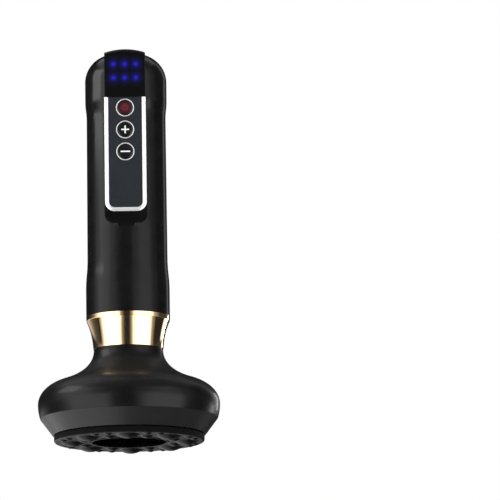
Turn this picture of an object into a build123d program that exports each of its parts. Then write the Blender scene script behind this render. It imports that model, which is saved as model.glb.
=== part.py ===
from build123d import *
import math
import os

# A handheld electric gua sha device: a suction cup in a domed massage pad under a bell-shaped
# head, with a vacuum pump, a battery and a key board in the handle above it. All sizes are in
# millimetres. It stands on the pad's domes at z = 0, on the Z axis, with the keys towards -Y.
# Depths named *_front are distances from the axis towards the front.

# Fits and cuts
overrun = 1.0
fit_gap = 0.1
press_gap = 0.05
room_steps = 3

# Massage pad
pad_setback = 7.96
pad_band = 18.15
pad_thickness = 3.5
pad_key_inset = 3.2
pad_key_width = 1.4
pad_key_depth = 1.0
dome_groups = 8
large_dome_radius = 6.0
large_dome_height = 2.0
large_dome_pitch_share = 0.493
middle_dome_radius = 3.2
middle_dome_height = 1.2
middle_dome_pitch_share = 0.251
small_dome_radius = 2.2
small_dome_height = 0.8
small_dome_pitch_share = 0.796
small_dome_spread_share = 0.129

# Suction cup, its port and its heater
cup_lip_width = 0.95
cup_lip_proud = 0.3
cup_draft = 0.35
cup_depth = 12.3
cup_roof = 2.0
cup_corner_radius = 2.0
cup_flange_width = 4.35
cup_flange_thickness = 1.7
cup_ear_radius = 4.0
port_bore_radius = 0.75
filter_share = 0.209
filter_thickness = 1.1
nipple_flange_share = 0.305
nipple_flange_thickness = 1.4
heater_inset = 2.15
heater_thickness = 0.6
seal_width = 1.6
seal_height = 1.1
seal_land = 1.3

# Bevelled rim and bell
rim_ledge = 0.6
rim_height = 8.4
rim_floor = 2.2
rim_wall = 2.6
rim_tongue_height = 3.0
rim_tongue_width = 1.4
bell_radius = 45.76
bell_skirt_height = 7.1
bell_skirt_radius = 24.0
bell_shoulder_reach = 18.7
bell_shoulder_rise = 13.0
bell_shoulder_share = 0.908
bell_neck_rise = 28.0
bell_neck_setback = 0.1
bell_neck_pull = 9.0
bell_shoulder_pull = 9.0
bell_wall = 2.2

# Screws of the head
head_screw_count = 4
head_screw_pitch_share = 0.6253
head_screw_radius = 1.3
head_screw_head_radius = 2.3
head_screw_head_height = 1.2
head_screw_grip = 8.0
head_boss_wall = 1.9

# Gold collar
collar_height = 16.5
collar_band_height = 2.3
collar_step = 0.4
collar_wall = 4.3
collar_foot_wall = 0.7

# Neck of the bell inside the handle
neck_flange_gap = 0.5
neck_flange_thickness = 2.1
handle_floor = 2.1
neck_rib = 2.0

# Handle
case_wall = 2.0
handle_waist_radius = 20.2
handle_base_flare = 0.9
handle_throat_draw = 0.2
handle_top_flare = 0.45
base_band_height = 12.5
base_taper_height = 18.0
waist_height = 70.5
shoulder_height = 10.0
top_band_height = 9.5
top_corner_radius = 14.0
top_crown_radius = 45.0
seam_tongue_reach = 1.2
seam_tongue_width = 0.9
seam_end_margin = 4.0

# Lamp lens over the front of the dome
lens_half_width = 10.25
lens_proud = 0.7
lens_thickness = 1.5
lens_drop = 11.4
lens_roof_rise = 0.3
lens_roof_fall_share = 0.077
lens_crown_radius = 32.0
lens_edge_radius = 2.4
tower_wall = 1.6

# Key panel, its trim and the tab below
land_setback = 0.7
trim_side_step = 0.45
trim_bar = 2.25
trim_height = 58.7
trim_thickness = 1.3
trim_corner_radius = 5.0
panel_thickness = 1.0
tab_height = 5.6
tab_corner_radius = 4.5
tab_proud = 1.1
tab_toe_proud = 0.2

# Keys
key_count = 3
key_first_drop = 5.5
key_pitch = 11.25
key_ring_radius = 4.6
key_ring_width = 0.65
key_ring_thickness = 1.25
key_cap_proud = 1.2
key_cap_edge = 0.3
key_guide_radius = 5.3
key_guide_depth = 2.6
key_flange_width = 0.75
key_flange_thickness = 0.8
key_stem_radius = 1.5
key_travel = 0.4
switch_size = 6.0
switch_height = 2.5
switch_plunger_radius = 1.7
switch_plunger_length = 1.5
switch_plunger_reach = 0.6

# Main board and lamps
board_depth = 7.5
board_thickness = 1.2
board_side_gap = 0.5
board_bottom_drop = 33.6
board_top_rise = 7.5
board_corner = 2.6
board_boss_radius = 2.2
board_screw_radius = 0.9
board_screw_head_radius = 1.6
board_screw_head_height = 1.0
board_screw_grip = 3.4
board_screw_inset = 2.2
board_screw_rise = 5.0
upper_screw_drop = 9.5
lamp_columns = 3
lamp_rows = 2
lamp_row_pitch = 7.0
lamp_first_rise = 1.6
lamp_width = 1.6
lamp_depth = 0.8
guide_side_gap = 0.65
guide_side_wall = 2.35
guide_end_wall = 3.2
guide_well_radius = 1.5
controller_size = 7.0
controller_height = 1.2
driver_size = 4.0
driver_height = 1.6

# Battery
cell_radius = 9.2
cell_play_share = 0.21
cell_rise = 14.0
cell_top_rise = 1.0
cradle_wall = 1.3
cradle_end = 1.6
cradle_opening_share = 0.25
tab_strip_thickness = 0.4
tab_strip_half_width = 3.0
tab_strip_length = 12.0
cradle_rib_half_width = 8.0
cradle_rib_thickness = 2.0
cradle_rib_inset = 14.0

# Charging socket and its board
charge_gap = 3.0
charge_board_gap = 0.8
charge_board_thickness = 1.2
charge_board_front_y = 2.0
charge_ledge = 2.0
charge_ledge_thickness = 2.0
charge_ledge_opening = 8.0
socket_half_width = 4.47
socket_height = 3.26
socket_depth = 7.35
socket_wall = 0.3
socket_setback = 0.45
socket_tongue_half_width = 3.35
socket_tongue_thickness = 0.7
socket_tongue_length = 5.0
socket_slot_gap = 0.2

# Diaphragm pump
pump_gap = 2.2
pump_rise = 1.0
pump_head_height = 6.0
pump_inlet_length = 4.0
diaphragm_thickness = 1.2
diaphragm_cup_share = 0.246
diaphragm_cup_height = 3.3
diaphragm_cup_pitch_share = 0.554
diaphragm_peg_radius = 0.8
chamber_count = 3
pump_housing_height = 14.8
pump_wall = 1.5
pump_cover = 1.5
wobble_thickness = 1.5
wobble_hub_radius = 3.4
wobble_arm_width = 3.0
wobble_socket_gap = 0.2
pump_screw_radius = 0.9
pump_screw_head_radius = 1.6
pump_screw_head_height = 1.2
pump_screw_grip = 6.0
pump_boss_radius = 1.9

# Pump motor
motor_step = 0.9
motor_length = 30.0
motor_wall = 1.0
motor_boss_radius = 3.0
motor_boss_height = 1.1
motor_cap_lip = 1.2
motor_cap_plug = 1.4
shaft_radius = 1.0
shaft_gap = 0.04
magnet_thickness = 1.9
magnet_arc_share = 0.361
magnet_margin = 4.0
armature_air_gap = 0.5
armature_margin = 5.5
armature_slot_width = 1.6
armature_slot_share = 0.483
armature_slot_count = 3
commutator_radius = 2.6
commutator_length = 4.5
terminal_width = 2.8
terminal_thickness = 0.5
terminal_length = 3.0
terminal_inset = 4.1
hub_radius = 4.0
hub_height = 4.5
hub_drop = 4.0
crank_pin_radius = 0.8
crank_offset = 1.8
crank_tip_offset = 0.3
crank_drop = 3.9
sleeve_thickness = 2.5
sleeve_margin = 6.0
sleeve_height = 18.0
case_rib = 2.0

# Release valve
valve_gap = 1.0
valve_wall = 0.4
valve_base_height = 3.4
valve_coil_height = 7.0
valve_cap_height = 1.4
valve_bore_radius = 1.7
valve_plunger_radius = 1.6
valve_plunger_length = 6.2
valve_lift = 0.6
valve_seat_height = 0.6
valve_spring_radius = 0.95
valve_spring_wall = 0.3
valve_spring_seat = 2.5

# Air hoses and the tee
hose_bore_radius = 1.1
hose_wall = 0.9
nipple_bore_radius = 0.6
nipple_length = 4.0
tee_block_radius = 2.4
tee_block_height = 4.0
tee_rise = 6.4
hose_bend_radius = 4.0

# Radii of the head, worked out inwards from the bell
pad_radius = bell_radius - pad_setback
cup_lip_radius = pad_radius - pad_band
cup_flange_radius = cup_lip_radius + cup_flange_width
filter_radius = filter_share * cup_lip_radius
nipple_flange_radius = nipple_flange_share * cup_lip_radius
heater_outer_radius = cup_lip_radius - heater_inset
pad_key_radius = pad_radius - pad_key_inset
large_dome_pitch_radius = cup_lip_radius + large_dome_pitch_share * pad_band
middle_dome_pitch_radius = cup_lip_radius + middle_dome_pitch_share * pad_band
small_dome_pitch_radius = cup_lip_radius + small_dome_pitch_share * pad_band
head_screw_pitch_radius = cup_lip_radius + head_screw_pitch_share * pad_band
valve_radius = head_screw_pitch_radius - cup_flange_radius - valve_gap
valve_coil_radius = valve_radius - valve_wall

# Radii and depths of the handle, worked out from its waist
handle_base_radius = handle_waist_radius + handle_base_flare
handle_throat_radius = handle_waist_radius - handle_throat_draw
handle_top_radius = handle_waist_radius + handle_top_flare
lens_front = handle_waist_radius + lens_proud
land_front = handle_waist_radius - land_setback
tab_front = land_front + tab_proud
tab_toe_front = land_front + tab_toe_proud
key_cap_front = land_front + key_cap_proud
key_guide_front = land_front - key_guide_depth
board_front = land_front - board_depth
board_back = board_front - board_thickness
charge_board_radius = handle_waist_radius - case_wall - charge_board_gap
trim_half_width = lens_half_width + trim_side_step
board_half_width = trim_half_width - board_side_gap
guide_half_width = lens_half_width - tower_wall - guide_side_gap
lamp_column_pitch = 2 * (guide_half_width - guide_side_wall) / (lamp_columns - 1)

# Radii of the collar and the neck, worked out from the foot of the handle
collar_flare_top_radius = handle_base_radius - collar_step
collar_bore_radius = handle_base_radius - collar_wall
collar_bottom_radius = collar_bore_radius + collar_foot_wall
bell_neck_radius = collar_bottom_radius - bell_neck_setback
neck_flange_radius = handle_base_radius - case_wall - neck_flange_gap
neck_radius = collar_bore_radius - fit_gap
neck_bore_radius = bell_neck_radius - bell_wall

# Radii of the pump and its motor, worked out from the bore of the neck
pump_radius = neck_bore_radius - pump_gap
diaphragm_cup_radius = diaphragm_cup_share * pump_radius
diaphragm_cup_pitch_radius = diaphragm_cup_pitch_share * pump_radius
pump_screw_pitch_radius = pump_radius - pump_boss_radius
motor_radius = pump_radius - motor_step
can_inner_radius = motor_radius - motor_wall
magnet_inner_radius = can_inner_radius - magnet_thickness
armature_radius = magnet_inner_radius - armature_air_gap
armature_slot_depth = armature_slot_share * armature_radius
terminal_pitch_radius = motor_radius - terminal_inset

# Place of the battery in the room behind the main board
cradle_radius = cell_radius + fit_gap + cradle_wall
cell_room = handle_waist_radius - case_wall + board_back - driver_height
cell_play = cell_room - cell_radius - cradle_radius
cell_y = handle_waist_radius - case_wall - cradle_radius - cell_play_share * cell_play

# Heights that follow from the sizes above
pad_face_z = large_dome_height
pad_back_z = pad_face_z + pad_thickness
rim_floor_z = pad_back_z + rim_floor
rim_top_z = pad_back_z + rim_height
cup_lip_z = pad_face_z - cup_lip_proud
cup_ceiling_z = cup_lip_z + cup_depth
cup_top_z = cup_ceiling_z + cup_roof
cup_flange_z = rim_floor_z + cup_flange_thickness
bell_waist_z = rim_top_z + bell_skirt_height
bell_neck_z = bell_waist_z + bell_neck_rise
collar_top_z = bell_neck_z + collar_height
handle_floor_z = collar_top_z + handle_floor
neck_flange_z = handle_floor_z + neck_flange_thickness
taper_z = collar_top_z + base_band_height
waist_z = taper_z + base_taper_height
throat_z = waist_z + waist_height
top_band_z = throat_z + shoulder_height
top_corner_z = top_band_z + top_band_height
lens_bottom_z = top_corner_z - lens_drop
trim_bottom_z = lens_bottom_z - trim_height
tab_bottom_z = trim_bottom_z - tab_height
board_bottom_z = lens_bottom_z - board_bottom_drop - board_screw_rise
board_top_z = top_corner_z + board_top_rise
lower_screw_z = board_bottom_z + board_screw_rise
upper_screw_z = top_corner_z - upper_screw_drop
lamp_low_z = top_corner_z - lamp_first_rise
key_heights = [lens_bottom_z - key_first_drop - index * key_pitch for index in range(key_count)]

# Arcs of the dome: the corner arc and the crown arc share one tangent
top_corner_r = handle_top_radius - top_corner_radius
crown_center_z = top_corner_z - math.sqrt(
    (top_crown_radius - top_corner_radius) ** 2 - top_corner_r**2
)
corner_angle = math.degrees(math.atan2(top_corner_z - crown_center_z, top_corner_r))
dome_top_z = crown_center_z + top_crown_radius
lens_roof_z = dome_top_z + lens_roof_rise

# Radii and places shared by neighbours
rim_foot_radius = pad_radius + rim_ledge
bell_foot_radius = bell_radius - (
    bell_skirt_radius - math.sqrt(bell_skirt_radius**2 - (bell_waist_z - rim_top_z) ** 2)
)
bell_room_radius = bell_radius - (
    bell_skirt_radius
    - math.sqrt((bell_skirt_radius - bell_wall) ** 2 - (bell_waist_z - rim_top_z) ** 2)
)
cup_inner_radius = cup_lip_radius - cup_lip_width
first_screw_angle = 180 / dome_groups
valve_angle = first_screw_angle + 180 / head_screw_count
seal_groove_inner = cup_lip_radius + seal_land
hose_radius = hose_bore_radius + hose_wall
nipple_radius = hose_bore_radius - press_gap

# Stack of the pump, from the neck upwards
pump_z = bell_neck_z + pump_rise
diaphragm_z = pump_z + pump_head_height
housing_z = diaphragm_z + diaphragm_thickness
wobble_z = housing_z + diaphragm_cup_height
motor_z = housing_z + pump_housing_height
motor_top_z = motor_z + motor_length
hub_z = motor_z - hub_drop - hub_height
sleeve_z = motor_z + sleeve_margin
sleeve_top_z = sleeve_z + sleeve_height
charge_board_z = motor_top_z + terminal_length + charge_gap
cell_top_z = top_corner_z + cell_top_rise
cell_bottom_z = charge_board_z + cell_rise

# Air line up the axis: the cup's nipple, the tee and the pump inlet
nipple_z = cup_top_z + nipple_flange_thickness
tee_branch_z = bell_waist_z + tee_rise
tee_z = tee_branch_z - tee_block_height / 2
tee_top_z = tee_z + tee_block_height
tee_foot = (tee_z - nipple_z - nipple_length) / 2
inlet_z = pump_z - pump_inlet_length
valve_top_z = rim_floor_z + valve_base_height + valve_coil_height + valve_cap_height
valve_nipple_z = tee_branch_z - hose_bend_radius


# A disc or ring on the Z axis, or on another upright axis, between two heights
def ring(outer, inner, bottom, top, mode=Mode.ADD, places=None):
    with BuildSketch(Plane.XY.offset(bottom)) as section:
        with Locations(*(places or [(0, 0)])):
            Circle(outer)
            if inner > 0:
                Circle(inner, mode=Mode.SUBTRACT)
    extrude(section.sketch, amount=top - bottom, mode=mode)


# Points on a circle, as places for screws, domes and chambers
def around(radius, count, first):
    angles = [math.radians(first + 360 * index / count) for index in range(count)]
    return [(radius * math.cos(angle), radius * math.sin(angle)) for angle in angles]


# Round pegs or holes along the front axis, from one depth to another
def front_peg(radius, front, back, places, mode=Mode.ADD):
    with BuildSketch(Plane.XZ.offset(front)) as section:
        with Locations(*places):
            Circle(radius)
    extrude(section.sketch, amount=back - front, mode=mode)


def save(piece, name):
    piece.part.label = name
    export_step(piece.part, f"parts/{name}.step")


os.makedirs("parts", exist_ok=True)
screw_places = around(head_screw_pitch_radius, head_screw_count, first_screw_angle)
valve_place = around(head_screw_pitch_radius, 1, valve_angle)
chamber_places = around(diaphragm_cup_pitch_radius, chamber_count, 90)
pump_screw_places = around(pump_screw_pitch_radius, chamber_count, -90)
key_places = [(0, height) for height in key_heights]


# One massage dome: the cap of a ball, base radius and height given, hanging from z = 0
def dome_cap(radius, height):
    ball_radius = (radius**2 + height**2) / (2 * height)
    with BuildPart() as cap:
        with BuildSketch(Plane.XZ):
            with BuildLine():
                tip = (0, -height)
                side = RadiusArc(tip, (radius, 0), -ball_radius)
                root = Line(side @ 1, (radius, pad_thickness / 2))
                middle = Line(root @ 1, (0, pad_thickness / 2))
                Line(middle @ 1, tip)
            make_face()
        revolve(axis=Axis.Z)
    return cap.part


# Massage pad: silicone ring with three sizes of dome and a key rib on its back
large_dome = dome_cap(large_dome_radius, large_dome_height)
middle_dome = dome_cap(middle_dome_radius, middle_dome_height)
small_dome = dome_cap(small_dome_radius, small_dome_height)
with BuildPart() as massage_pad:
    ring(pad_radius, cup_lip_radius + fit_gap, pad_face_z, pad_back_z)
    ring(pad_key_radius + pad_key_width, pad_key_radius, pad_back_z, pad_back_z + pad_key_depth)
    group_step = 360 / dome_groups
    half_step = group_step / 2
    spread = small_dome_spread_share * group_step
    with Locations((0, 0, pad_face_z)):
        with PolarLocations(large_dome_pitch_radius, dome_groups):
            add(large_dome)
        with PolarLocations(middle_dome_pitch_radius, dome_groups, half_step):
            add(middle_dome)
        for side in (-spread, spread):
            with PolarLocations(small_dome_pitch_radius, dome_groups, half_step + side):
                add(small_dome)
save(massage_pad, "massage_pad")


# Bevelled rim: a cone under the bell, with the floor that carries the pad and the cup
with BuildPart() as head_rim:
    with BuildSketch(Plane.XZ):
        with BuildLine():
            floor_share = rim_floor / rim_height
            cone_at_floor = rim_foot_radius + (bell_foot_radius - rim_foot_radius) * floor_share
            tongue_outer = bell_room_radius - fit_gap
            tongue_inner = tongue_outer - rim_tongue_width
            Polyline(
                (cup_lip_radius + fit_gap, pad_back_z),
                (rim_foot_radius, pad_back_z),
                (bell_foot_radius, rim_top_z),
                (tongue_outer, rim_top_z),
                (tongue_outer, rim_top_z + rim_tongue_height),
                (tongue_inner, rim_top_z + rim_tongue_height),
                (tongue_inner, rim_top_z),
                (cone_at_floor - rim_wall, rim_floor_z),
                (cup_lip_radius + fit_gap, rim_floor_z),
                close=True,
            )
        make_face()
    revolve(axis=Axis.Z)
    ring(
        pad_key_radius + pad_key_width + fit_gap,
        pad_key_radius - fit_gap,
        pad_back_z - overrun,
        pad_back_z + pad_key_depth + fit_gap,
        Mode.SUBTRACT,
    )
    ring(
        seal_groove_inner + seal_width + fit_gap,
        seal_groove_inner - fit_gap,
        rim_floor_z - seal_height,
        rim_floor_z + overrun,
        Mode.SUBTRACT,
    )
    ring(
        head_screw_radius + fit_gap,
        0,
        pad_back_z - overrun,
        rim_floor_z + overrun,
        Mode.SUBTRACT,
        screw_places,
    )
    ring(
        head_screw_head_radius + fit_gap,
        0,
        pad_back_z - overrun,
        pad_back_z + fit_gap + head_screw_head_height,
        Mode.SUBTRACT,
        screw_places,
    )
save(head_rim, "head_rim")


# Suction cup: a drafted cup with a rounded ceiling, a flange and four screw ears
with BuildPart() as suction_cup:
    with BuildSketch(Plane.XZ):
        with BuildLine():
            ceiling_radius = cup_inner_radius - cup_draft
            corner_inset = cup_corner_radius / 4
            outer = Polyline(
                (0, cup_ceiling_z),
                (0, cup_top_z),
                (cup_lip_radius, cup_top_z),
                (cup_lip_radius, cup_flange_z),
                (cup_flange_radius, cup_flange_z),
                (cup_flange_radius, rim_floor_z),
                (cup_lip_radius, rim_floor_z),
                (cup_lip_radius, cup_lip_z),
                (cup_inner_radius, cup_lip_z),
                (ceiling_radius, cup_ceiling_z - cup_corner_radius),
            )
            Polyline(
                outer @ 1,
                (ceiling_radius - corner_inset, cup_ceiling_z - corner_inset),
                (ceiling_radius - cup_corner_radius, cup_ceiling_z),
                outer @ 0,
            )
        make_face()
    revolve(axis=Axis.Z)
    with BuildSketch(Plane.XY.offset(rim_floor_z)):
        with PolarLocations(0, head_screw_count, first_screw_angle):
            SlotCenterPoint(
                (head_screw_pitch_radius / 2 + cup_flange_radius / 2, 0),
                (head_screw_pitch_radius, 0),
                2 * cup_ear_radius,
            )
        Circle(cup_lip_radius + cup_lip_width, mode=Mode.SUBTRACT)
    extrude(amount=cup_flange_thickness)
    ring(
        head_screw_radius + fit_gap,
        0,
        rim_floor_z - overrun,
        cup_flange_z + overrun,
        Mode.SUBTRACT,
        screw_places,
    )
    ring(
        filter_radius + fit_gap,
        0,
        cup_top_z - filter_thickness - fit_gap,
        cup_top_z + overrun,
        Mode.SUBTRACT,
    )
    ring(port_bore_radius, 0, cup_ceiling_z - overrun, cup_top_z, Mode.SUBTRACT)
save(suction_cup, "suction_cup")


# Sealing ring pressed between the cup's flange and the groove of the rim
with BuildPart() as cup_seal:
    ring(seal_groove_inner + seal_width, seal_groove_inner, rim_floor_z - seal_height, rim_floor_z)
save(cup_seal, "cup_seal")


# Four screws that hold rim and cup to the bosses of the bell, hidden under the pad
screw_head_z = pad_back_z + fit_gap
with BuildPart() as head_screws:
    shank_z = screw_head_z + head_screw_head_height
    ring(head_screw_head_radius, 0, screw_head_z, shank_z, places=screw_places)
    ring(head_screw_radius, 0, shank_z, cup_flange_z + head_screw_grip, places=screw_places)
save(head_screws, "head_screws")


# Felt disc over the port, in the pocket of the cup's roof
with BuildPart() as filter_disc:
    ring(filter_radius, 0, cup_top_z - filter_thickness - fit_gap, cup_top_z - fit_gap)
save(filter_disc, "filter_disc")


# Nipple that closes the filter pocket and takes the cup hose
with BuildPart() as port_nipple:
    ring(nipple_flange_radius, 0, cup_top_z, nipple_z)
    ring(nipple_radius, 0, nipple_z, nipple_z + nipple_length)
    ring(nipple_bore_radius, 0, cup_top_z - overrun, tee_z, Mode.SUBTRACT)
save(port_nipple, "port_nipple")


# Ring-shaped heating film on the roof of the cup
with BuildPart() as heater_film:
    ring(
        heater_outer_radius,
        nipple_flange_radius + heater_thickness,
        cup_top_z,
        cup_top_z + heater_thickness,
    )
save(heater_film, "heater_film")


# Solid of revolution under a chain of curves that runs from the foot up to a closing height
# on the axis. With steps, each curve becomes that many straight cones, as inside a moulding.
def turned_form(curves, steps, foot_z):
    with BuildPart() as form:
        with BuildSketch(Plane.XZ):
            with BuildLine():
                if steps > 0:
                    points = [curve @ (step / steps) for curve in curves for step in range(steps)]
                    Polyline(*points, curves[-1] @ 1)
                else:
                    for curve in curves:
                        add(curve)
                end = curves[-1] @ 1
                start = curves[0] @ 0
                if end.X > 0:
                    Line(end, (0, end.Y))
                Polyline((0, end.Y), (0, foot_z), (start.X, foot_z))
                if start.Y > foot_z:
                    Line((start.X, foot_z), start)
            make_face()
        revolve(axis=Axis.Z)
    return form.part


# Outer form of the bell moved inwards by an inset: skirt arc, elliptical shoulder, concave neck
def bell_form(inset, steps, foot_z):
    skirt_radius = bell_skirt_radius - inset
    skirt_angle = math.degrees(math.asin((bell_waist_z - foot_z) / skirt_radius))
    skirt_center = (bell_radius - bell_skirt_radius, bell_waist_z)
    skirt = CenterArc(skirt_center, skirt_radius, -skirt_angle, skirt_angle)
    shoulder = EllipticalCenterArc(
        (bell_radius - bell_shoulder_reach, bell_waist_z),
        bell_shoulder_reach - inset,
        bell_shoulder_rise - inset,
        0,
        arc_size=math.degrees(math.asin(bell_shoulder_share)),
    )
    slope = (shoulder % 1) * bell_shoulder_pull
    neck_top = (bell_neck_radius - inset, bell_neck_z)
    neck_pull = (bell_neck_radius - inset, bell_neck_z - bell_neck_pull)
    neck = Bezier(shoulder @ 1, (shoulder @ 1) + slope, neck_pull, neck_top)
    return turned_form([skirt, shoulder, neck], steps, foot_z)


# Screw bosses under the roof of the bell, ending inside its wall
boss_radius = head_screw_radius + press_gap + head_boss_wall
bell_outer = bell_form(0, 0, rim_top_z)
bell_middle = bell_form(bell_wall / 2, room_steps, rim_top_z)
bell_room = bell_form(bell_wall, room_steps, rim_top_z - overrun)
with BuildPart() as boss_room:
    add(bell_middle)
    ring(pad_radius, 0, cup_flange_z, bell_waist_z)
with BuildPart() as head_bosses:
    ring(boss_radius, 0, cup_flange_z, bell_neck_z, places=screw_places)
    add(boss_room.part, mode=Mode.INTERSECT)


# Bell of the head, with the neck tube and the flange that the handle holds
with BuildPart() as head_shell:
    add(bell_outer)
    add(bell_room, mode=Mode.SUBTRACT)
    add(head_bosses.part)
    ring(neck_radius, 0, bell_neck_z, neck_flange_z)
    ring(neck_flange_radius, 0, handle_floor_z, neck_flange_z)
    ring(neck_bore_radius, 0, bell_neck_z - overrun, neck_flange_z + overrun, Mode.SUBTRACT)
    ring(
        head_screw_radius + press_gap,
        0,
        cup_flange_z - overrun,
        cup_flange_z + head_screw_grip + overrun,
        Mode.SUBTRACT,
        screw_places,
    )
save(head_shell, "head_shell")


# Gold collar: a band flush with the handle over a flare that narrows to the bell's neck
with BuildPart() as collar:
    with BuildSketch(Plane.XZ):
        with BuildLine():
            flare_rise = collar_height - collar_band_height
            flare_run = collar_flare_top_radius - collar_bottom_radius
            flare_radius = (flare_rise**2 + flare_run**2) / (2 * flare_run)
            flare_angle = math.degrees(math.asin(flare_rise / flare_radius))
            flare = CenterArc(
                (collar_bottom_radius + flare_radius, bell_neck_z),
                flare_radius,
                180,
                -flare_angle,
            )
            Polyline(
                flare @ 1,
                (handle_base_radius, collar_top_z - collar_band_height),
                (handle_base_radius, collar_top_z),
                (collar_bore_radius, collar_top_z),
                (collar_bore_radius, bell_neck_z),
                flare @ 0,
            )
        make_face()
    revolve(axis=Axis.Z)
save(collar, "collar")


# Outer form of the handle moved inwards by an inset: base band, taper, waist, shoulder, dome
def handle_form(inset, steps):
    base = handle_base_radius - inset
    waist = handle_waist_radius - inset
    throat = handle_throat_radius - inset
    top = handle_top_radius - inset
    taper_middle_z = (taper_z + waist_z) / 2
    shoulder_middle_z = (throat_z + top_band_z) / 2
    corner_radius = top_corner_radius - inset
    crown_radius = top_crown_radius - inset
    curves = [
        Line((base, collar_top_z), (base, taper_z)),
        Bezier((base, taper_z), (base, taper_middle_z), (waist, taper_middle_z), (waist, waist_z)),
        Line((waist, waist_z), (throat, throat_z)),
        Bezier(
            (throat, throat_z), (throat, shoulder_middle_z), (top, shoulder_middle_z), (top, top_band_z)
        ),
        Line((top, top_band_z), (top, top_corner_z)),
        CenterArc((top_corner_r, top_corner_z), corner_radius, 0, corner_angle),
        CenterArc((0, crown_center_z), crown_radius, corner_angle, 90 - corner_angle),
    ]
    if steps > 0:
        points = [curve @ 0 for curve in curves[:5]]
        points += [curves[5] @ (step / steps) for step in range(steps)]
        points += [curves[6] @ 0, (0, (curves[6] @ 0).Y)]
        curves = [Polyline(*points)]
        steps = 0
    return turned_form(curves, steps, collar_top_z)


# Block of the visor at the front of the dome: flat front, crowned roof that falls forwards
def visor_block(inset, half_width, front_edge):
    apex_z = lens_roof_z - inset
    front = lens_front - inset
    roof_drop = lens_crown_radius - math.sqrt(lens_crown_radius**2 - half_width**2)
    with BuildPart() as block:
        with BuildSketch(Plane.XZ.offset(-overrun)) as section:
            with BuildLine():
                roof = ThreePointArc(
                    (-half_width, apex_z - roof_drop), (0, apex_z), (half_width, apex_z - roof_drop)
                )
                Polyline(
                    roof @ 1, (half_width, lens_bottom_z), (-half_width, lens_bottom_z), roof @ 0
                )
            make_face()
        extrude(
            section.sketch,
            amount=front + 2 * overrun,
            dir=(0, -1, -lens_roof_fall_share),
        )
        split(bisect_by=Plane.XZ.offset(front), keep=Keep.BOTTOM)
        split(bisect_by=Plane.XZ, keep=Keep.TOP)
        split(bisect_by=Plane.XY.offset(lens_bottom_z), keep=Keep.TOP)
        if front_edge > 0:
            front_face = block.faces().sort_by(Axis.Y)[0]
            fillet(front_face.edges().sort_by(Axis.Z)[-1], front_edge)
    return block.part


# Lens of the lamps: a front plate and a roof plate, carried by the tower of the front shell
lens_outer = visor_block(0, lens_half_width, lens_edge_radius)
tower_outer = visor_block(lens_thickness, lens_half_width, lens_edge_radius - lens_thickness)
with BuildPart() as display_lens:
    add(lens_outer)
    add(tower_outer, mode=Mode.SUBTRACT)
save(display_lens, "display_lens")


# Outer form and room of the handle, and the ribs that cross it, before they are parted at y = 0.
# The ribs end inside the wall, wherever it runs
handle_outer = handle_form(0, 0)
handle_room = handle_form(case_wall, room_steps)
rib_limit = handle_form(case_wall / 4, room_steps)
with BuildPart() as case_ribs:
    ring(handle_base_radius, neck_radius + fit_gap, collar_top_z, handle_floor_z)
    ring(handle_base_radius, neck_radius + fit_gap, neck_flange_z, neck_flange_z + neck_rib)
    for rib_z in (sleeve_z - case_rib, sleeve_top_z):
        ring(handle_base_radius, motor_radius + 4 * fit_gap, rib_z, rib_z + case_rib)
    middle_rib_z = (sleeve_z + sleeve_top_z - case_rib) / 2
    ring(
        handle_base_radius,
        motor_radius + sleeve_thickness,
        middle_rib_z,
        middle_rib_z + case_rib,
    )
    add(rib_limit, mode=Mode.INTERSECT)


# Band along the straight seam, half a wall thick, that reaches forwards from y = 0
def seam_band(gap):
    outer_form = handle_form(case_wall - seam_tongue_width - gap, room_steps)
    with BuildPart() as band:
        add(outer_form)
        add(handle_room, mode=Mode.SUBTRACT)
        low_z = neck_flange_z + neck_rib + seam_end_margin - gap
        high_z = top_corner_z - seam_end_margin + gap
        with BuildSketch(Plane.XY.offset(low_z)):
            with Locations((0, -(seam_tongue_reach + gap) / 2)):
                Rectangle(2 * handle_base_radius, seam_tongue_reach + gap)
        extrude(amount=high_z - low_z, mode=Mode.INTERSECT)
    return band.part


# Tongue of the rear shell and the groove of the front shell that takes it
seam_tongue = seam_band(0)
seam_groove = seam_band(fit_gap)


# Outline of the key land and the tab, seen from the front, with rounded lower corners
def land_outline(half_width, bottom_z, top_z, corner, mode=Mode.ADD):
    with BuildLine() as outline:
        sides = FilletPolyline(
            (-half_width, top_z),
            (-half_width, bottom_z),
            (half_width, bottom_z),
            (half_width, top_z),
            radius=corner,
        )
        Line(sides @ 1, sides @ 0)
    make_face(outline.edges(), mode=mode)


# Tab below the trim: it slopes back towards its rounded toe
with BuildPart() as tab:
    with BuildSketch(Plane.XZ.offset(board_front)):
        land_outline(
            trim_half_width, tab_bottom_z, trim_bottom_z + trim_corner_radius, tab_corner_radius
        )
    extrude(amount=tab_front - board_front)
    with BuildSketch(Plane.YZ):
        with BuildLine():
            Polyline(
                (-tab_front, trim_bottom_z),
                (-tab_toe_front, tab_bottom_z),
                (-tab_toe_front, tab_bottom_z - overrun),
                (-tab_front - overrun, tab_bottom_z - overrun),
                (-tab_front - overrun, trim_bottom_z),
                close=True,
            )
        make_face()
    extrude(amount=trim_half_width + overrun, both=True, mode=Mode.SUBTRACT)


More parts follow.
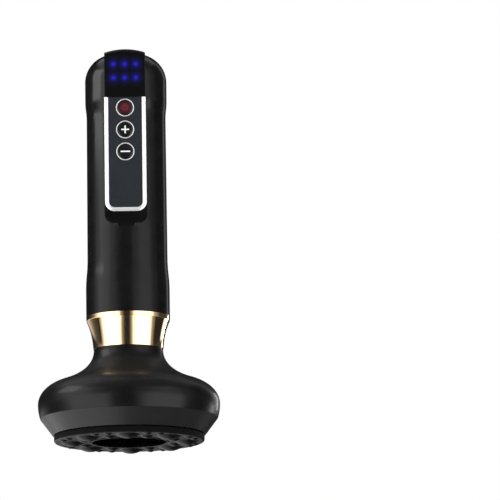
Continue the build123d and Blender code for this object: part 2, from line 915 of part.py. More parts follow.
# Front shell: key land, tab, lens tower with its lamp window, key guides and board bosses
board_screw_x = board_half_width - board_screw_inset
board_screw_places = [
    (side * board_screw_x, height)
    for side in (-1, 1)
    for height in (lower_screw_z, upper_screw_z)
]
guide_low_z = lamp_low_z - guide_end_wall
guide_high_z = lamp_low_z + lamp_row_pitch * (lamp_rows - 1) + guide_end_wall
guide_middle = (0, (guide_low_z + guide_high_z) / 2)
guide_height = guide_high_z - guide_low_z
key_cap_radius = key_ring_radius - key_ring_width - fit_gap
lens_seat = visor_block(0, lens_half_width, 0)
tower_room = visor_block(lens_thickness + tower_wall, lens_half_width - tower_wall, 0)
with BuildPart() as front_shell:
    add(handle_outer)
    split(bisect_by=Plane.XZ, keep=Keep.TOP)
    with BuildSketch(Plane.XZ.offset(board_front)):
        land_outline(trim_half_width, tab_bottom_z, lens_bottom_z, tab_corner_radius)
    extrude(amount=land_front - board_front)
    add(tab.part)
    with BuildSketch(Plane.XZ.offset(land_front)):
        land_outline(trim_half_width, trim_bottom_z, lens_bottom_z, trim_corner_radius)
    extrude(amount=trim_thickness + overrun, mode=Mode.SUBTRACT)
    add(lens_seat, mode=Mode.SUBTRACT)
    add(tower_outer)
    add(handle_room, mode=Mode.SUBTRACT)
    add(tower_room, mode=Mode.SUBTRACT)
    add(case_ribs.part)
    split(bisect_by=Plane.XZ, keep=Keep.TOP)
    add(seam_groove, mode=Mode.SUBTRACT)
    front_peg(board_boss_radius, board_front, land_front - case_wall, board_screw_places)
    front_peg(key_guide_radius, key_guide_front, land_front - panel_thickness, key_places)
    front_peg(key_cap_radius + fit_gap, board_front, land_front + overrun, key_places, Mode.SUBTRACT)
    front_peg(
        board_screw_radius + press_gap,
        board_front - overrun,
        board_front + board_screw_grip,
        board_screw_places,
        Mode.SUBTRACT,
    )
    with BuildSketch(Plane.XZ.offset(board_front)):
        with Locations(guide_middle):
            Rectangle(2 * (guide_half_width + fit_gap), guide_height + 2 * fit_gap)
    extrude(amount=lens_front - board_front, mode=Mode.SUBTRACT)
save(front_shell, "front_shell")


# Rear shell: seam tongue, ledges of the charging board, slot of its socket, ribs of the cradle
socket_z = charge_board_z + charge_board_thickness + socket_height / 2
ledge_inner_radius = charge_board_radius - charge_ledge
cradle_bottom_z = cell_bottom_z - tab_strip_thickness - cradle_end
cradle_top_z = cell_top_z + tab_strip_thickness + cradle_end
with BuildPart() as rear_ledges:
    ring(
        handle_base_radius,
        ledge_inner_radius,
        charge_board_z - charge_ledge_thickness,
        charge_board_z,
    )
    upper_ledge_z = charge_board_z + charge_board_thickness + fit_gap
    ring(
        handle_base_radius,
        ledge_inner_radius,
        upper_ledge_z,
        upper_ledge_z + charge_ledge_thickness,
    )
    with BuildSketch(Plane.XY.offset(upper_ledge_z)):
        Rectangle(2 * charge_ledge_opening, 2 * handle_base_radius)
    extrude(amount=charge_ledge_thickness + overrun, mode=Mode.SUBTRACT)
    for rib_z in (cradle_bottom_z + cradle_rib_inset, cradle_top_z - cradle_rib_inset):
        with BuildSketch(Plane.XY.offset(rib_z - cradle_rib_thickness / 2)):
            with Locations((0, handle_base_radius / 2)):
                Rectangle(2 * cradle_rib_half_width, handle_base_radius)
            with Locations((0, cell_y)):
                Circle(cradle_radius, mode=Mode.SUBTRACT)
            with Locations((0, cell_y - cradle_radius)):
                Rectangle(2 * handle_base_radius, 2 * cradle_radius, mode=Mode.SUBTRACT)
        extrude(amount=cradle_rib_thickness)
    add(rib_limit, mode=Mode.INTERSECT)
    split(bisect_by=Plane.XZ, keep=Keep.BOTTOM)

with BuildPart() as rear_shell:
    add(handle_outer)
    add(handle_room, mode=Mode.SUBTRACT)
    add(case_ribs.part)
    split(bisect_by=Plane.XZ, keep=Keep.BOTTOM)
    add(rear_ledges.part)
    add(seam_tongue)
    with BuildSketch(Plane.XZ.offset(-ledge_inner_radius)):
        with Locations((0, socket_z)):
            SlotOverall(
                2 * (socket_half_width + socket_slot_gap), socket_height + 2 * socket_slot_gap
            )
    extrude(amount=-handle_base_radius, mode=Mode.SUBTRACT)
save(rear_shell, "rear_shell")


# Panel plate with the holes of the key rings
panel_half_width = trim_half_width - trim_bar
with BuildPart() as key_panel:
    with BuildSketch(Plane.XZ.offset(land_front)):
        land_outline(
            panel_half_width - press_gap,
            trim_bottom_z + trim_bar + press_gap,
            lens_bottom_z,
            trim_corner_radius - trim_bar,
        )
        with Locations(*key_places):
            Circle(key_ring_radius + press_gap, mode=Mode.SUBTRACT)
    extrude(amount=panel_thickness)
save(key_panel, "key_panel")


# Chrome trim: a U around the panel, open under the lens
with BuildPart() as panel_trim:
    with BuildSketch(Plane.XZ.offset(land_front)):
        land_outline(trim_half_width, trim_bottom_z, lens_bottom_z, trim_corner_radius)
        land_outline(
            panel_half_width,
            trim_bottom_z + trim_bar,
            lens_bottom_z,
            trim_corner_radius - trim_bar,
            Mode.SUBTRACT,
        )
    extrude(amount=trim_thickness)
save(panel_trim, "panel_trim")


# Silver rings around the keys
with BuildPart() as button_rings:
    with BuildSketch(Plane.XZ.offset(land_front)):
        with Locations(*key_places):
            Circle(key_ring_radius)
            Circle(key_ring_radius - key_ring_width, mode=Mode.SUBTRACT)
    extrude(amount=key_ring_thickness)
save(button_rings, "button_rings")


# Keys: a cap in its ring, a flange behind the guide and a stem on the switch plunger
key_flange_back = key_guide_front - key_flange_thickness
switch_front = board_front + switch_height
plunger_tip = switch_front + switch_plunger_reach
for name, height in zip(("power_button", "plus_button", "minus_button"), key_heights):
    place = [(0, height)]
    with BuildPart() as button:
        front_peg(key_cap_radius, key_guide_front, key_cap_front, place)
        chamfer(button.edges().group_by(Axis.Y)[0], key_cap_edge)
        front_peg(key_cap_radius + key_flange_width, key_flange_back, key_guide_front, place)
        front_peg(key_stem_radius, plunger_tip, key_flange_back, place)
    save(button, name)

for name, height in zip(("power_plunger", "plus_plunger", "minus_plunger"), key_heights):
    with BuildPart() as plunger:
        front_peg(
            switch_plunger_radius, plunger_tip - switch_plunger_length, plunger_tip, [(0, height)]
        )
    save(plunger, name)


# Three switches on the main board, each with a well for its plunger
with BuildPart() as tact_switches:
    with BuildSketch(Plane.XZ.offset(board_front)):
        with Locations(*key_places):
            Rectangle(switch_size, switch_size)
    extrude(amount=switch_height)
    front_peg(
        switch_plunger_radius + fit_gap,
        plunger_tip - switch_plunger_length - key_travel - fit_gap,
        switch_front + overrun,
        key_places,
        Mode.SUBTRACT,
    )
save(tact_switches, "tact_switches")


# Main board behind the keys and the lamps, with its upper corners cut off
with BuildPart() as main_board:
    with BuildSketch(Plane.XZ.offset(board_back)) as outline:
        with Locations((0, (board_bottom_z + board_top_z) / 2)):
            Rectangle(2 * board_half_width, board_top_z - board_bottom_z)
        chamfer(outline.vertices().group_by(Axis.Y)[-1], board_corner)
    extrude(amount=board_thickness)
    front_peg(
        board_screw_radius + fit_gap,
        board_back - overrun,
        board_front + overrun,
        board_screw_places,
        Mode.SUBTRACT,
    )
save(main_board, "main_board")


# Controller, charge chip and motor driver on the back of the main board
chip_middle_z = (lower_screw_z + upper_screw_z) / 2
with BuildPart() as board_chips:
    with BuildSketch(Plane.XZ.offset(board_back)):
        with Locations((0, chip_middle_z)):
            Rectangle(controller_size, controller_size)
    extrude(amount=-controller_height)
    with BuildSketch(Plane.XZ.offset(board_back)):
        with Locations(
            (0, chip_middle_z - 2 * controller_size), (0, chip_middle_z + 2 * controller_size)
        ):
            Rectangle(driver_size, driver_size)
    extrude(amount=-driver_height)
save(board_chips, "board_chips")


# Screws that hold the main board to the bosses of the front shell
with BuildPart() as board_screws:
    front_peg(
        board_screw_head_radius,
        board_back - board_screw_head_height,
        board_back,
        board_screw_places,
    )
    front_peg(
        board_screw_radius,
        board_back,
        board_back + board_screw_grip,
        board_screw_places,
    )
save(board_screws, "board_screws")


# Lamps in two rows of three on the main board, and the guide that keeps their light apart
with BuildPart() as indicator_leds:
    with BuildSketch(Plane.XZ.offset(board_front)):
        with Locations((0, lamp_low_z + lamp_row_pitch * (lamp_rows - 1) / 2)):
            with GridLocations(lamp_column_pitch, lamp_row_pitch, lamp_columns, lamp_rows):
                Rectangle(lamp_width, lamp_width)
    extrude(amount=lamp_depth)
save(indicator_leds, "indicator_leds")

with BuildPart() as light_guide:
    with BuildSketch(Plane.XZ.offset(board_front)):
        with Locations(guide_middle):
            Rectangle(2 * guide_half_width, guide_height)
        with Locations((0, lamp_low_z + lamp_row_pitch * (lamp_rows - 1) / 2)):
            with GridLocations(lamp_column_pitch, lamp_row_pitch, lamp_columns, lamp_rows):
                Circle(guide_well_radius, mode=Mode.SUBTRACT)
    extrude(amount=lens_front - lens_thickness - board_front)
save(light_guide, "light_guide")


# Battery cell, its cradle and the strips at its ends
cell_place = [(0, cell_y)]
with BuildPart() as battery_cell:
    ring(cell_radius, 0, cell_bottom_z, cell_top_z, places=cell_place)
save(battery_cell, "battery_cell")

with BuildPart() as battery_cradle:
    ring(cradle_radius, 0, cradle_bottom_z, cradle_top_z, places=cell_place)
    ring(
        cell_radius + fit_gap,
        0,
        cradle_bottom_z + cradle_end,
        cradle_top_z - cradle_end,
        Mode.SUBTRACT,
        cell_place,
    )
    with BuildSketch(Plane.XY.offset(cradle_bottom_z - overrun)):
        opening = 2 * cradle_radius * cradle_opening_share
        with Locations((0, cell_y - cradle_radius)):
            Rectangle(2 * (cradle_radius + overrun), 2 * opening)
    extrude(amount=cradle_top_z - cradle_bottom_z + 2 * overrun, mode=Mode.SUBTRACT)
save(battery_cradle, "battery_cradle")

with BuildPart() as battery_tabs:
    for strip_z in (cell_bottom_z - tab_strip_thickness, cell_top_z):
        with BuildSketch(Plane.XY.offset(strip_z)):
            with Locations((0, cell_y)):
                Rectangle(2 * tab_strip_half_width, tab_strip_length)
        extrude(amount=tab_strip_thickness)
save(battery_tabs, "battery_tabs")


# Charging board across the handle, with the socket that ends just inside the rear wall
socket_mouth_y = handle_waist_radius - socket_setback
socket_back_y = socket_mouth_y - socket_depth
with BuildPart() as charge_board:
    with BuildSketch(Plane.XY.offset(charge_board_z)):
        Circle(charge_board_radius)
        with Locations((0, charge_board_front_y - charge_board_radius)):
            Rectangle(2 * charge_board_radius, 2 * charge_board_radius, mode=Mode.SUBTRACT)
    extrude(amount=charge_board_thickness)
save(charge_board, "charge_board")

with BuildPart() as charging_socket:
    with BuildSketch(Plane.XZ.offset(-socket_back_y)):
        with Locations((0, socket_z)):
            SlotOverall(2 * socket_half_width, socket_height)
    extrude(amount=-socket_depth)
    with BuildSketch(Plane.XZ.offset(-socket_back_y - socket_wall)):
        with Locations((0, socket_z)):
            SlotOverall(2 * (socket_half_width - socket_wall), socket_height - 2 * socket_wall)
    extrude(amount=-socket_depth, mode=Mode.SUBTRACT)
save(charging_socket, "charging_socket")

with BuildPart() as socket_tongue:
    with BuildSketch(Plane.XZ.offset(-socket_back_y - socket_wall)):
        with Locations((0, socket_z)):
            Rectangle(2 * socket_tongue_half_width, socket_tongue_thickness)
    extrude(amount=-socket_tongue_length)
save(socket_tongue, "socket_tongue")


# Pump head: inlet nipple below, one chamber pocket above for each cup of the diaphragm
with BuildPart() as pump_head:
    ring(pump_radius, 0, pump_z, diaphragm_z)
    ring(nipple_radius, 0, inlet_z, pump_z)
    ring(nipple_bore_radius, 0, inlet_z - overrun, diaphragm_z + overrun, Mode.SUBTRACT)
    ring(
        diaphragm_cup_radius - diaphragm_thickness / 2,
        0,
        diaphragm_z - pump_cover,
        diaphragm_z + overrun,
        Mode.SUBTRACT,
        chamber_places,
    )
    ring(
        pump_screw_radius + fit_gap,
        0,
        pump_z - overrun,
        diaphragm_z + overrun,
        Mode.SUBTRACT,
        pump_screw_places,
    )
save(pump_head, "pump_head")


# Diaphragm: a rubber sheet with three hollow cups and the pegs that the wobble plate moves
with BuildPart() as diaphragm:
    ring(pump_radius, 0, diaphragm_z, housing_z)
    ring(diaphragm_cup_radius, 0, housing_z, wobble_z, places=chamber_places)
    ring(
        diaphragm_cup_radius - diaphragm_thickness / 2,
        0,
        diaphragm_z - overrun,
        wobble_z - diaphragm_thickness,
        Mode.SUBTRACT,
        chamber_places,
    )
    peg_z = wobble_z + wobble_thickness + diaphragm_peg_radius
    ring(diaphragm_peg_radius, 0, wobble_z, peg_z, places=chamber_places)
    ring(
        pump_screw_radius + fit_gap,
        0,
        diaphragm_z - overrun,
        housing_z + overrun,
        Mode.SUBTRACT,
        pump_screw_places,
    )
save(diaphragm, "diaphragm")


# Wobble plate: three arms on the cups and a socket wide enough for the pin's turning circle
pin_top_z = hub_z + hub_height / 4
pin_run = crank_offset - crank_tip_offset
pin_length = math.hypot(pin_run, crank_drop)
pin_depth_share = (pin_top_z - wobble_z - wobble_thickness) / crank_drop
wobble_socket_radius = (
    crank_offset
    - pin_run * pin_depth_share
    + crank_pin_radius * pin_length / crank_drop
    + wobble_socket_gap
)
with BuildPart() as wobble_plate:
    with BuildSketch(Plane.XY.offset(wobble_z)):
        Circle(wobble_hub_radius)
        with PolarLocations(0, chamber_count, 90):
            SlotCenterPoint(
                (diaphragm_cup_pitch_radius / 2, 0),
                (diaphragm_cup_pitch_radius, 0),
                wobble_arm_width,
            )
        Circle(wobble_socket_radius, mode=Mode.SUBTRACT)
        with Locations(*chamber_places):
            Circle(diaphragm_peg_radius + press_gap, mode=Mode.SUBTRACT)
    extrude(amount=wobble_thickness)
save(wobble_plate, "wobble_plate")


# Pump housing: the crank room between diaphragm and motor, with three screw bosses
with BuildPart() as pump_housing:
    ring(pump_radius, pump_radius - pump_wall, housing_z, motor_z)
    ring(pump_radius - pump_wall / 2, 0, motor_z - pump_cover, motor_z)
    ring(
        pump_boss_radius,
        0,
        housing_z,
        motor_z - pump_cover,
        places=pump_screw_places,
    )
    ring(
        motor_boss_radius + fit_gap,
        0,
        motor_z - pump_cover - overrun,
        motor_z + overrun,
        Mode.SUBTRACT,
    )
    ring(
        pump_screw_radius + press_gap,
        0,
        housing_z - overrun,
        housing_z + pump_screw_grip + fit_gap,
        Mode.SUBTRACT,
        pump_screw_places,
    )
save(pump_housing, "pump_housing")

with BuildPart() as pump_screws:
    ring(
        pump_screw_head_radius,
        0,
        pump_z - pump_screw_head_height,
        pump_z,
        places=pump_screw_places,
    )
    ring(pump_screw_radius, 0, pump_z, housing_z + pump_screw_grip, places=pump_screw_places)
save(pump_screws, "pump_screws")


# Motor can with its bearing boss, two magnets and an end cap
with BuildPart() as motor_case:
    ring(motor_radius, 0, motor_z, motor_top_z - motor_cap_lip)
    ring(motor_boss_radius, 0, motor_z - motor_boss_height, motor_z)
    ring(can_inner_radius, 0, motor_z + motor_wall, motor_top_z, Mode.SUBTRACT)
    ring(
        shaft_radius + shaft_gap,
        0,
        motor_z - motor_boss_height - overrun,
        motor_z + motor_wall + overrun,
        Mode.SUBTRACT,
    )
save(motor_case, "motor_case")

with BuildPart() as motor_magnets:
    magnet_top_z = motor_top_z - motor_cap_lip - motor_cap_plug - magnet_margin
    with BuildSketch(Plane.XY.offset(motor_z + motor_wall + magnet_margin)):
        with BuildLine():
            magnet_arc = 360 * magnet_arc_share
            outer = CenterArc((0, 0), can_inner_radius - press_gap, -magnet_arc / 2, magnet_arc)
            inner = CenterArc((0, 0), magnet_inner_radius, -magnet_arc / 2, magnet_arc)
            Line(outer @ 0, inner @ 0)
            Line(outer @ 1, inner @ 1)
        make_face()
        mirror(about=Plane.YZ)
    extrude(amount=magnet_top_z - motor_z - motor_wall - magnet_margin)
save(motor_magnets, "motor_magnets")

with BuildPart() as motor_end_cap:
    cap_z = motor_top_z - motor_cap_lip
    ring(motor_radius, 0, cap_z, motor_top_z)
    ring(can_inner_radius - press_gap, 0, cap_z - motor_cap_plug, cap_z)
    ring(
        shaft_radius + shaft_gap,
        0,
        cap_z - motor_cap_plug - overrun,
        cap_z + shaft_gap,
        Mode.SUBTRACT,
    )
save(motor_end_cap, "motor_end_cap")

with BuildPart() as motor_terminals:
    with BuildSketch(Plane.XY.offset(motor_top_z)):
        with Locations((-terminal_pitch_radius, 0), (terminal_pitch_radius, 0)):
            Rectangle(terminal_thickness, terminal_width)
    extrude(amount=terminal_length)
save(motor_terminals, "motor_terminals")


# Rotor: shaft, wound armature with its commutator, and the eccentric hub with its crank pin
with BuildPart() as motor_shaft:
    ring(shaft_radius, 0, pin_top_z, motor_top_z - motor_cap_lip)
save(motor_shaft, "motor_shaft")

with BuildPart() as armature:
    armature_z = motor_z + motor_wall + armature_margin
    armature_top_z = magnet_top_z - armature_margin + magnet_margin
    with BuildSketch(Plane.XY.offset(armature_z)):
        Circle(armature_radius)
        with PolarLocations(0, armature_slot_count):
            with Locations((armature_radius - armature_slot_depth / 2, 0)):
                Rectangle(armature_slot_depth + fit_gap, armature_slot_width, mode=Mode.SUBTRACT)
    extrude(amount=armature_top_z - armature_z)
    ring(commutator_radius, 0, armature_top_z, armature_top_z + commutator_length)
    ring(
        shaft_radius + press_gap / 2,
        0,
        armature_z - overrun,
        motor_top_z,
        Mode.SUBTRACT,
    )
save(armature, "armature")

with BuildPart() as eccentric_hub:
    ring(hub_radius, 0, hub_z, hub_z + hub_height)
    pin_plane = Plane(
        origin=(crank_offset, 0, pin_top_z),
        z_dir=(-pin_run, 0, -crank_drop),
    )
    with BuildSketch(pin_plane):
        Circle(crank_pin_radius)
    extrude(amount=pin_length)
    ring(
        shaft_radius + press_gap / 2,
        0,
        pin_top_z,
        hub_z + hub_height + overrun,
        Mode.SUBTRACT,
    )
save(eccentric_hub, "eccentric_hub")


# Rubber sleeve that the ribs of the handle grip around the motor
with BuildPart() as pump_sleeve:
    ring(motor_radius + sleeve_thickness, motor_radius, sleeve_z, sleeve_top_z)
save(pump_sleeve, "pump_sleeve")


# Release valve: base with a seat, coil with a bore, top nipple; a sprung plunger on the seat
valve_coil_z = rim_floor_z + valve_base_height
valve_seat_z = rim_floor_z + valve_base_height - valve_seat_height
plunger_z = valve_seat_z
plunger_top_z = plunger_z + valve_plunger_length
spring_z = plunger_top_z - valve_spring_seat
with BuildPart() as valve_body:
    ring(valve_radius, 0, rim_floor_z, valve_coil_z, places=valve_place)
    ring(
        valve_bore_radius,
        0,
        valve_seat_z,
        valve_coil_z + overrun,
        Mode.SUBTRACT,
        valve_place,
    )
    cover_z = valve_coil_z + valve_coil_height
    ring(valve_radius, 0, cover_z, valve_top_z, places=valve_place)
    ring(valve_radius, valve_coil_radius, valve_coil_z, cover_z, places=valve_place)
    ring(nipple_radius, 0, valve_top_z, valve_nipple_z, places=valve_place)
    ring(
        nipple_bore_radius,
        0,
        cover_z - overrun,
        valve_nipple_z + overrun,
        Mode.SUBTRACT,
        valve_place,
    )
save(valve_body, "valve_body")

with BuildPart() as valve_coil:
    ring(valve_coil_radius, valve_bore_radius, valve_coil_z, cover_z, places=valve_place)
save(valve_coil, "valve_coil")

with BuildPart() as valve_plunger:
    ring(valve_plunger_radius, 0, plunger_z, plunger_top_z, places=valve_place)
    ring(
        valve_spring_radius + fit_gap,
        0,
        spring_z - valve_lift - fit_gap,
        plunger_top_z + overrun,
        Mode.SUBTRACT,
        valve_place,
    )
save(valve_plunger, "valve_plunger")

with BuildPart() as valve_spring:
    ring(
        valve_spring_radius,
        valve_spring_radius - valve_spring_wall,
        spring_z,
        cover_z,
        places=valve_place,
    )
save(valve_spring, "valve_spring")


# Tee above the cup: one branch down, one up to the pump, one towards the valve
branch_plane = Plane(
    origin=(0, 0, tee_branch_z),
    x_dir=(-math.sin(math.radians(valve_angle)), math.cos(math.radians(valve_angle)), 0),
    z_dir=(math.cos(math.radians(valve_angle)), math.sin(math.radians(valve_angle)), 0),
)
branch_reach = tee_block_radius + nipple_length
with BuildPart() as tee_connector:
    ring(tee_block_radius, 0, tee_z, tee_top_z)
    ring(nipple_radius, 0, tee_z - tee_foot, tee_top_z + nipple_length)
    with BuildSketch(branch_plane):
        Circle(nipple_radius)
    extrude(amount=branch_reach)
    ring(nipple_bore_radius, 0, tee_z - nipple_length, tee_top_z + 2 * nipple_length, Mode.SUBTRACT)
    with BuildSketch(branch_plane):
        Circle(nipple_bore_radius)
    extrude(amount=branch_reach + overrun, mode=Mode.SUBTRACT)
save(tee_connector, "tee_connector")


# Air hoses: two straight ones on the axis and one that bends down to the valve
with BuildPart() as cup_hose:
    ring(hose_radius, hose_bore_radius, nipple_z + press_gap, tee_z)
save(cup_hose, "cup_hose")

with BuildPart() as pump_hose:
    ring(hose_radius, hose_bore_radius, tee_top_z, pump_z)
save(pump_hose, "pump_hose")

with BuildPart() as valve_hose:
    with BuildLine(Plane(origin=(0, 0, 0), x_dir=branch_plane.z_dir, z_dir=-branch_plane.x_dir)):
        FilletPolyline(
            (tee_block_radius + fit_gap, tee_branch_z),
            (head_screw_pitch_radius, tee_branch_z),
            (head_screw_pitch_radius, valve_top_z),
            radius=hose_bend_radius,
        )
    with BuildSketch(branch_plane.offset(tee_block_radius + fit_gap)):
        Circle(hose_radius)
        Circle(hose_bore_radius, mode=Mode.SUBTRACT)
    sweep()
save(valve_hose, "valve_hose")
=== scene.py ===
import bmesh
import bpy
import math
from mathutils import Matrix, Vector


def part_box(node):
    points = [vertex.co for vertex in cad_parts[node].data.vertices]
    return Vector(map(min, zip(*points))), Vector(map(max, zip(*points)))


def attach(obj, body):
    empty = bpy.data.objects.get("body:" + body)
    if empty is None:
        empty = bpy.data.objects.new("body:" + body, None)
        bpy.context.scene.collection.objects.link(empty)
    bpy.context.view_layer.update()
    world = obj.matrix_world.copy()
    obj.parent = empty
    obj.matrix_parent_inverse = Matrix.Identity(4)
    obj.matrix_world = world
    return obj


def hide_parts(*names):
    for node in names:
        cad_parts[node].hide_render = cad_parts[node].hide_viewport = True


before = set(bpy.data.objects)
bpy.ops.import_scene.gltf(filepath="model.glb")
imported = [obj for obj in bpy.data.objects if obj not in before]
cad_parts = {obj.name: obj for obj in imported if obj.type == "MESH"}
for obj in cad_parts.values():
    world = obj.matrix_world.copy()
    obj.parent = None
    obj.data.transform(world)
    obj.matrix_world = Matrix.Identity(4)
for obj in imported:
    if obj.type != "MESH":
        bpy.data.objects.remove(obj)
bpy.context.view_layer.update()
MM = 0.001


def linear(hex_code):
    """The linear colour of an sRGB hex value, with full alpha."""
    levels = [int(hex_code[start:start + 2], 16) / 255 for start in (1, 3, 5)]
    return [v / 12.92 if v <= 0.04045 else ((v + 0.055) / 1.055) ** 2.4 for v in levels] + [1.0]


def add(tree, kind, settings=None, links=None):
    """One more node. A setting is an attribute or an input's value, and a link is an input
    with the node that feeds it, or with that node and its output. Inputs and outputs go by their
    name or their number."""
    node = tree.nodes.new("ShaderNode" + kind)
    for name, value in (settings or {}).items():
        if name == "stops":
            elements = node.color_ramp.elements
            elements.remove(elements[1])
            for index, (place, colour) in enumerate(value):
                stop = elements[0] if index == 0 else elements.new(place)
                stop.position = place
                stop.color = colour if isinstance(colour, list) else [colour] * 3 + [1.0]
        elif name == "easing":
            node.color_ramp.interpolation = value
        elif isinstance(name, str) and hasattr(node, name):
            setattr(node, name, value)
        else:
            node.inputs[name].default_value = value
    for name, source in (links or {}).items():
        giver, output = source if isinstance(source, tuple) else (source, 0)
        tree.links.new(giver.outputs[output], node.inputs[name])
    return node


# Camera: a long lens far away that looks up by ten degrees, as in the photograph, past the
# device, which stands to the left. The focal length is in pixels of the square picture, and the
# sensor in millimetres.
VIEW_DISTANCE = 2.5
VIEW_RISE = math.radians(10.0)
VIEW_ROLL = math.radians(-0.84)
AIM_ASIDE = 61.9 * MM
AIM_HEIGHT = 98.95 * MM
PICTURE_PIXELS = 500
FOCAL_PIXELS = 4950
SENSOR_WIDTH = 36.0
FARTHEST_SEEN = 20.0
forward = Vector((0, math.cos(VIEW_RISE), math.sin(VIEW_RISE)))
camera = bpy.data.objects.new("photo_camera", bpy.data.cameras.new("photo_camera"))
camera.data.sensor_width = SENSOR_WIDTH
camera.data.lens = SENSOR_WIDTH * FOCAL_PIXELS / PICTURE_PIXELS
camera.data.clip_end = FARTHEST_SEEN
bpy.context.scene.collection.objects.link(camera)
eye = Vector((AIM_ASIDE, 0, AIM_HEIGHT)) - forward * VIEW_DISTANCE
upturn = forward.to_track_quat("-Z", "Y").to_matrix().to_4x4()
camera.matrix_world = Matrix.Translation(eye) @ upturn @ Matrix.Rotation(VIEW_ROLL, 4, "Z")
bpy.context.scene.camera = camera
bpy.context.scene.view_settings.view_transform = "Standard"


# World: white to the camera, four rings of soft cards to reflections, plain light to the rest.
# A card's place is its compass angle in degrees, from the front to the right, and its level is a
# share of the brightest card's radiance.
CARD_RADIANCE = 3.0
PLAIN_RADIANCE = 0.9
crown_cards = [
    (-180, 0.1), (-160, 0.14), (-148, 0.26), (-137, 0.5), (-119, 0.34), (-100, 0.46),
    (-90, 0.5), (-77, 0.38), (-59, 0.24), (-30, 0.12), (100, 0.11), (115, 0.16), (139, 0.34),
    (152, 0.16), (180, 0.1),
]
upper_cards = [
    (-180, 0.0), (-140, 0.01), (-122, 0.02), (-107, 0.09), (-95, 0.36), (-82, 0.85), (-62, 0.85),
    (-40, 0.42), (-24, 0.12), (-10, 0.06), (8, 0.07), (22, 0.29), (45, 0.57), (62, 0.52),
    (82, 0.16), (100, 0.02), (134, 0.02), (139, 0.2), (146, 0.2), (151, 0.02), (180, 0.0),
]
lower_cards = [
    (-180, 0.02), (-165, 0.18), (-145, 0.24), (-130, 0.1), (-120, 0.04), (-95, 0.01),
    (-84, 0.45), (-74, 1.0), (-28, 1.0), (-18, 0.13), (-9, 0.01), (5, 0.01), (12, 0.14),
    (22, 0.8), (28, 1.0), (70, 1.0), (80, 0.16), (92, 0.01), (124, 0.01), (132, 1.0),
    (138, 1.0), (143, 0.02),
]
floor_cards = [
    (-180, 0.3), (-152, 0.65), (-125, 0.8), (-95, 0.95), (-60, 1.0), (-30, 0.8), (0, 0.34),
    (60, 0.25), (100, 0.2), (125, 0.1), (150, 0.04),
]
# The rings from the lowest up: the cards, how they blend, and the seam with the ring below, which
# has a slope towards the back and two heights, on a globe of radius 1, between which they mix
card_rings = (
    (floor_cards, "EASE", None),
    (lower_cards, "LINEAR", (0.3, -0.57, -0.46)),
    (upper_cards, "EASE", (-0.045, 0.05, 0.11)),
    (crown_cards, "EASE", (0.0, 0.6, 0.72)),
)
world = bpy.data.worlds.new("studio")
bpy.context.scene.world = world
world.use_nodes = True
# The plain light is even and the cards are only mirrored, so neither is sampled as a lamp
world.cycles.sampling_method = "NONE"
tree = world.node_tree
tree.nodes.clear()
ray = add(tree, "SeparateXYZ", links={0: (add(tree, "TexCoord"), "Generated")})
front = add(tree, "Math", {"operation": "MULTIPLY", 1: -1.0}, {0: (ray, "Y")})
angle = add(tree, "Math", {"operation": "ARCTAN2"}, {0: (ray, "X"), 1: front})
compass = add(tree, "Math", {"operation": "MULTIPLY_ADD", 1: 0.5 / math.pi, 2: 0.5}, {0: angle})
for cards, easing, seam in card_rings:
    stops = [(degrees / 360 + 0.5, level) for degrees, level in cards]
    ring = add(tree, "ValToRGB", {"stops": stops, "easing": easing}, {0: compass})
    if seam is None:
        studio = (ring, 0)
        continue
    slope, mix_start, mix_end = seam
    height = add(
        tree, "Math", {"operation": "MULTIPLY_ADD", 1: -slope}, {0: (ray, "Y"), 2: (ray, "Z")},
    )
    mixing = {"interpolation_type": "SMOOTHSTEP", "From Min": mix_start, "From Max": mix_end}
    share = add(tree, "MapRange", mixing, {0: height})
    studio = (add(tree, "Mix", {"data_type": "RGBA"}, {0: share, 6: studio, 7: ring}), 2)
card_light = add(tree, "Background", {"Strength": CARD_RADIANCE}, {"Color": studio})
plain_light = add(
    tree, "Background", {"Color": linear("#ffffff"), "Strength": PLAIN_RADIANCE},
)
backdrop = add(tree, "Background", {"Color": linear("#ffffff"), "Strength": 1.0})
path = add(tree, "LightPath")
lit = add(tree, "MixShader", links={0: (path, "Is Glossy Ray"), 1: plain_light, 2: card_light})
open_ways = add(
    tree, "Math", {"operation": "MAXIMUM"},
    {0: (path, "Is Camera Ray"), 1: (path, "Is Transmission Ray")},
)
seen = add(tree, "MixShader", links={0: open_ways, 1: lit, 2: backdrop})
add(tree, "OutputWorld", links={"Surface": seen})


# Two softboxes near enough to fade along the body, a tall one to the left and a strip behind
# the head to the right. Each has its compass angle, its distance and height, its own width and
# tallness, the height on the axis that it is aimed at, all in metres, and its radiance.
softboxes = [
    ("left_box", -88, 0.5, 0.37, 0.3, 0.25, 0.15, 2.9),
    ("right_strip", 142, 0.25, 0.062, 0.009, 0.075, 0.04, 13.0),
]
for name, compass_angle, distance, height, width, tallness, target, radiance in softboxes:
    softbox = bpy.data.lights.new(name, "AREA")
    softbox.shape = "RECTANGLE"
    softbox.size = width
    softbox.size_y = tallness
    softbox.energy = radiance * math.pi * width * tallness
    stand = bpy.data.objects.new(name, softbox)
    bearing = math.radians(compass_angle)
    stand.location = (math.sin(bearing) * distance, -math.cos(bearing) * distance, height)
    aim = Vector((0, 0, target)) - stand.location
    stand.rotation_euler = aim.to_track_quat("-Z", "Y").to_euler()
    stand.visible_camera = False
    bpy.context.scene.collection.objects.link(stand)


def new_material(name, base, settings):
    """A blank: the material, its node tree, its shader with its own values set, and the
    object's coordinates in metres."""
    made = bpy.data.materials.new(name)
    made.use_nodes = True
    tree = made.node_tree
    shader = tree.nodes["Principled BSDF"]
    shader.inputs["Base Color"].default_value = linear(base)
    for socket, value in settings.items():
        shader.inputs[socket].default_value = value
    return made, tree, shader, (add(tree, "TexCoord"), "Object")


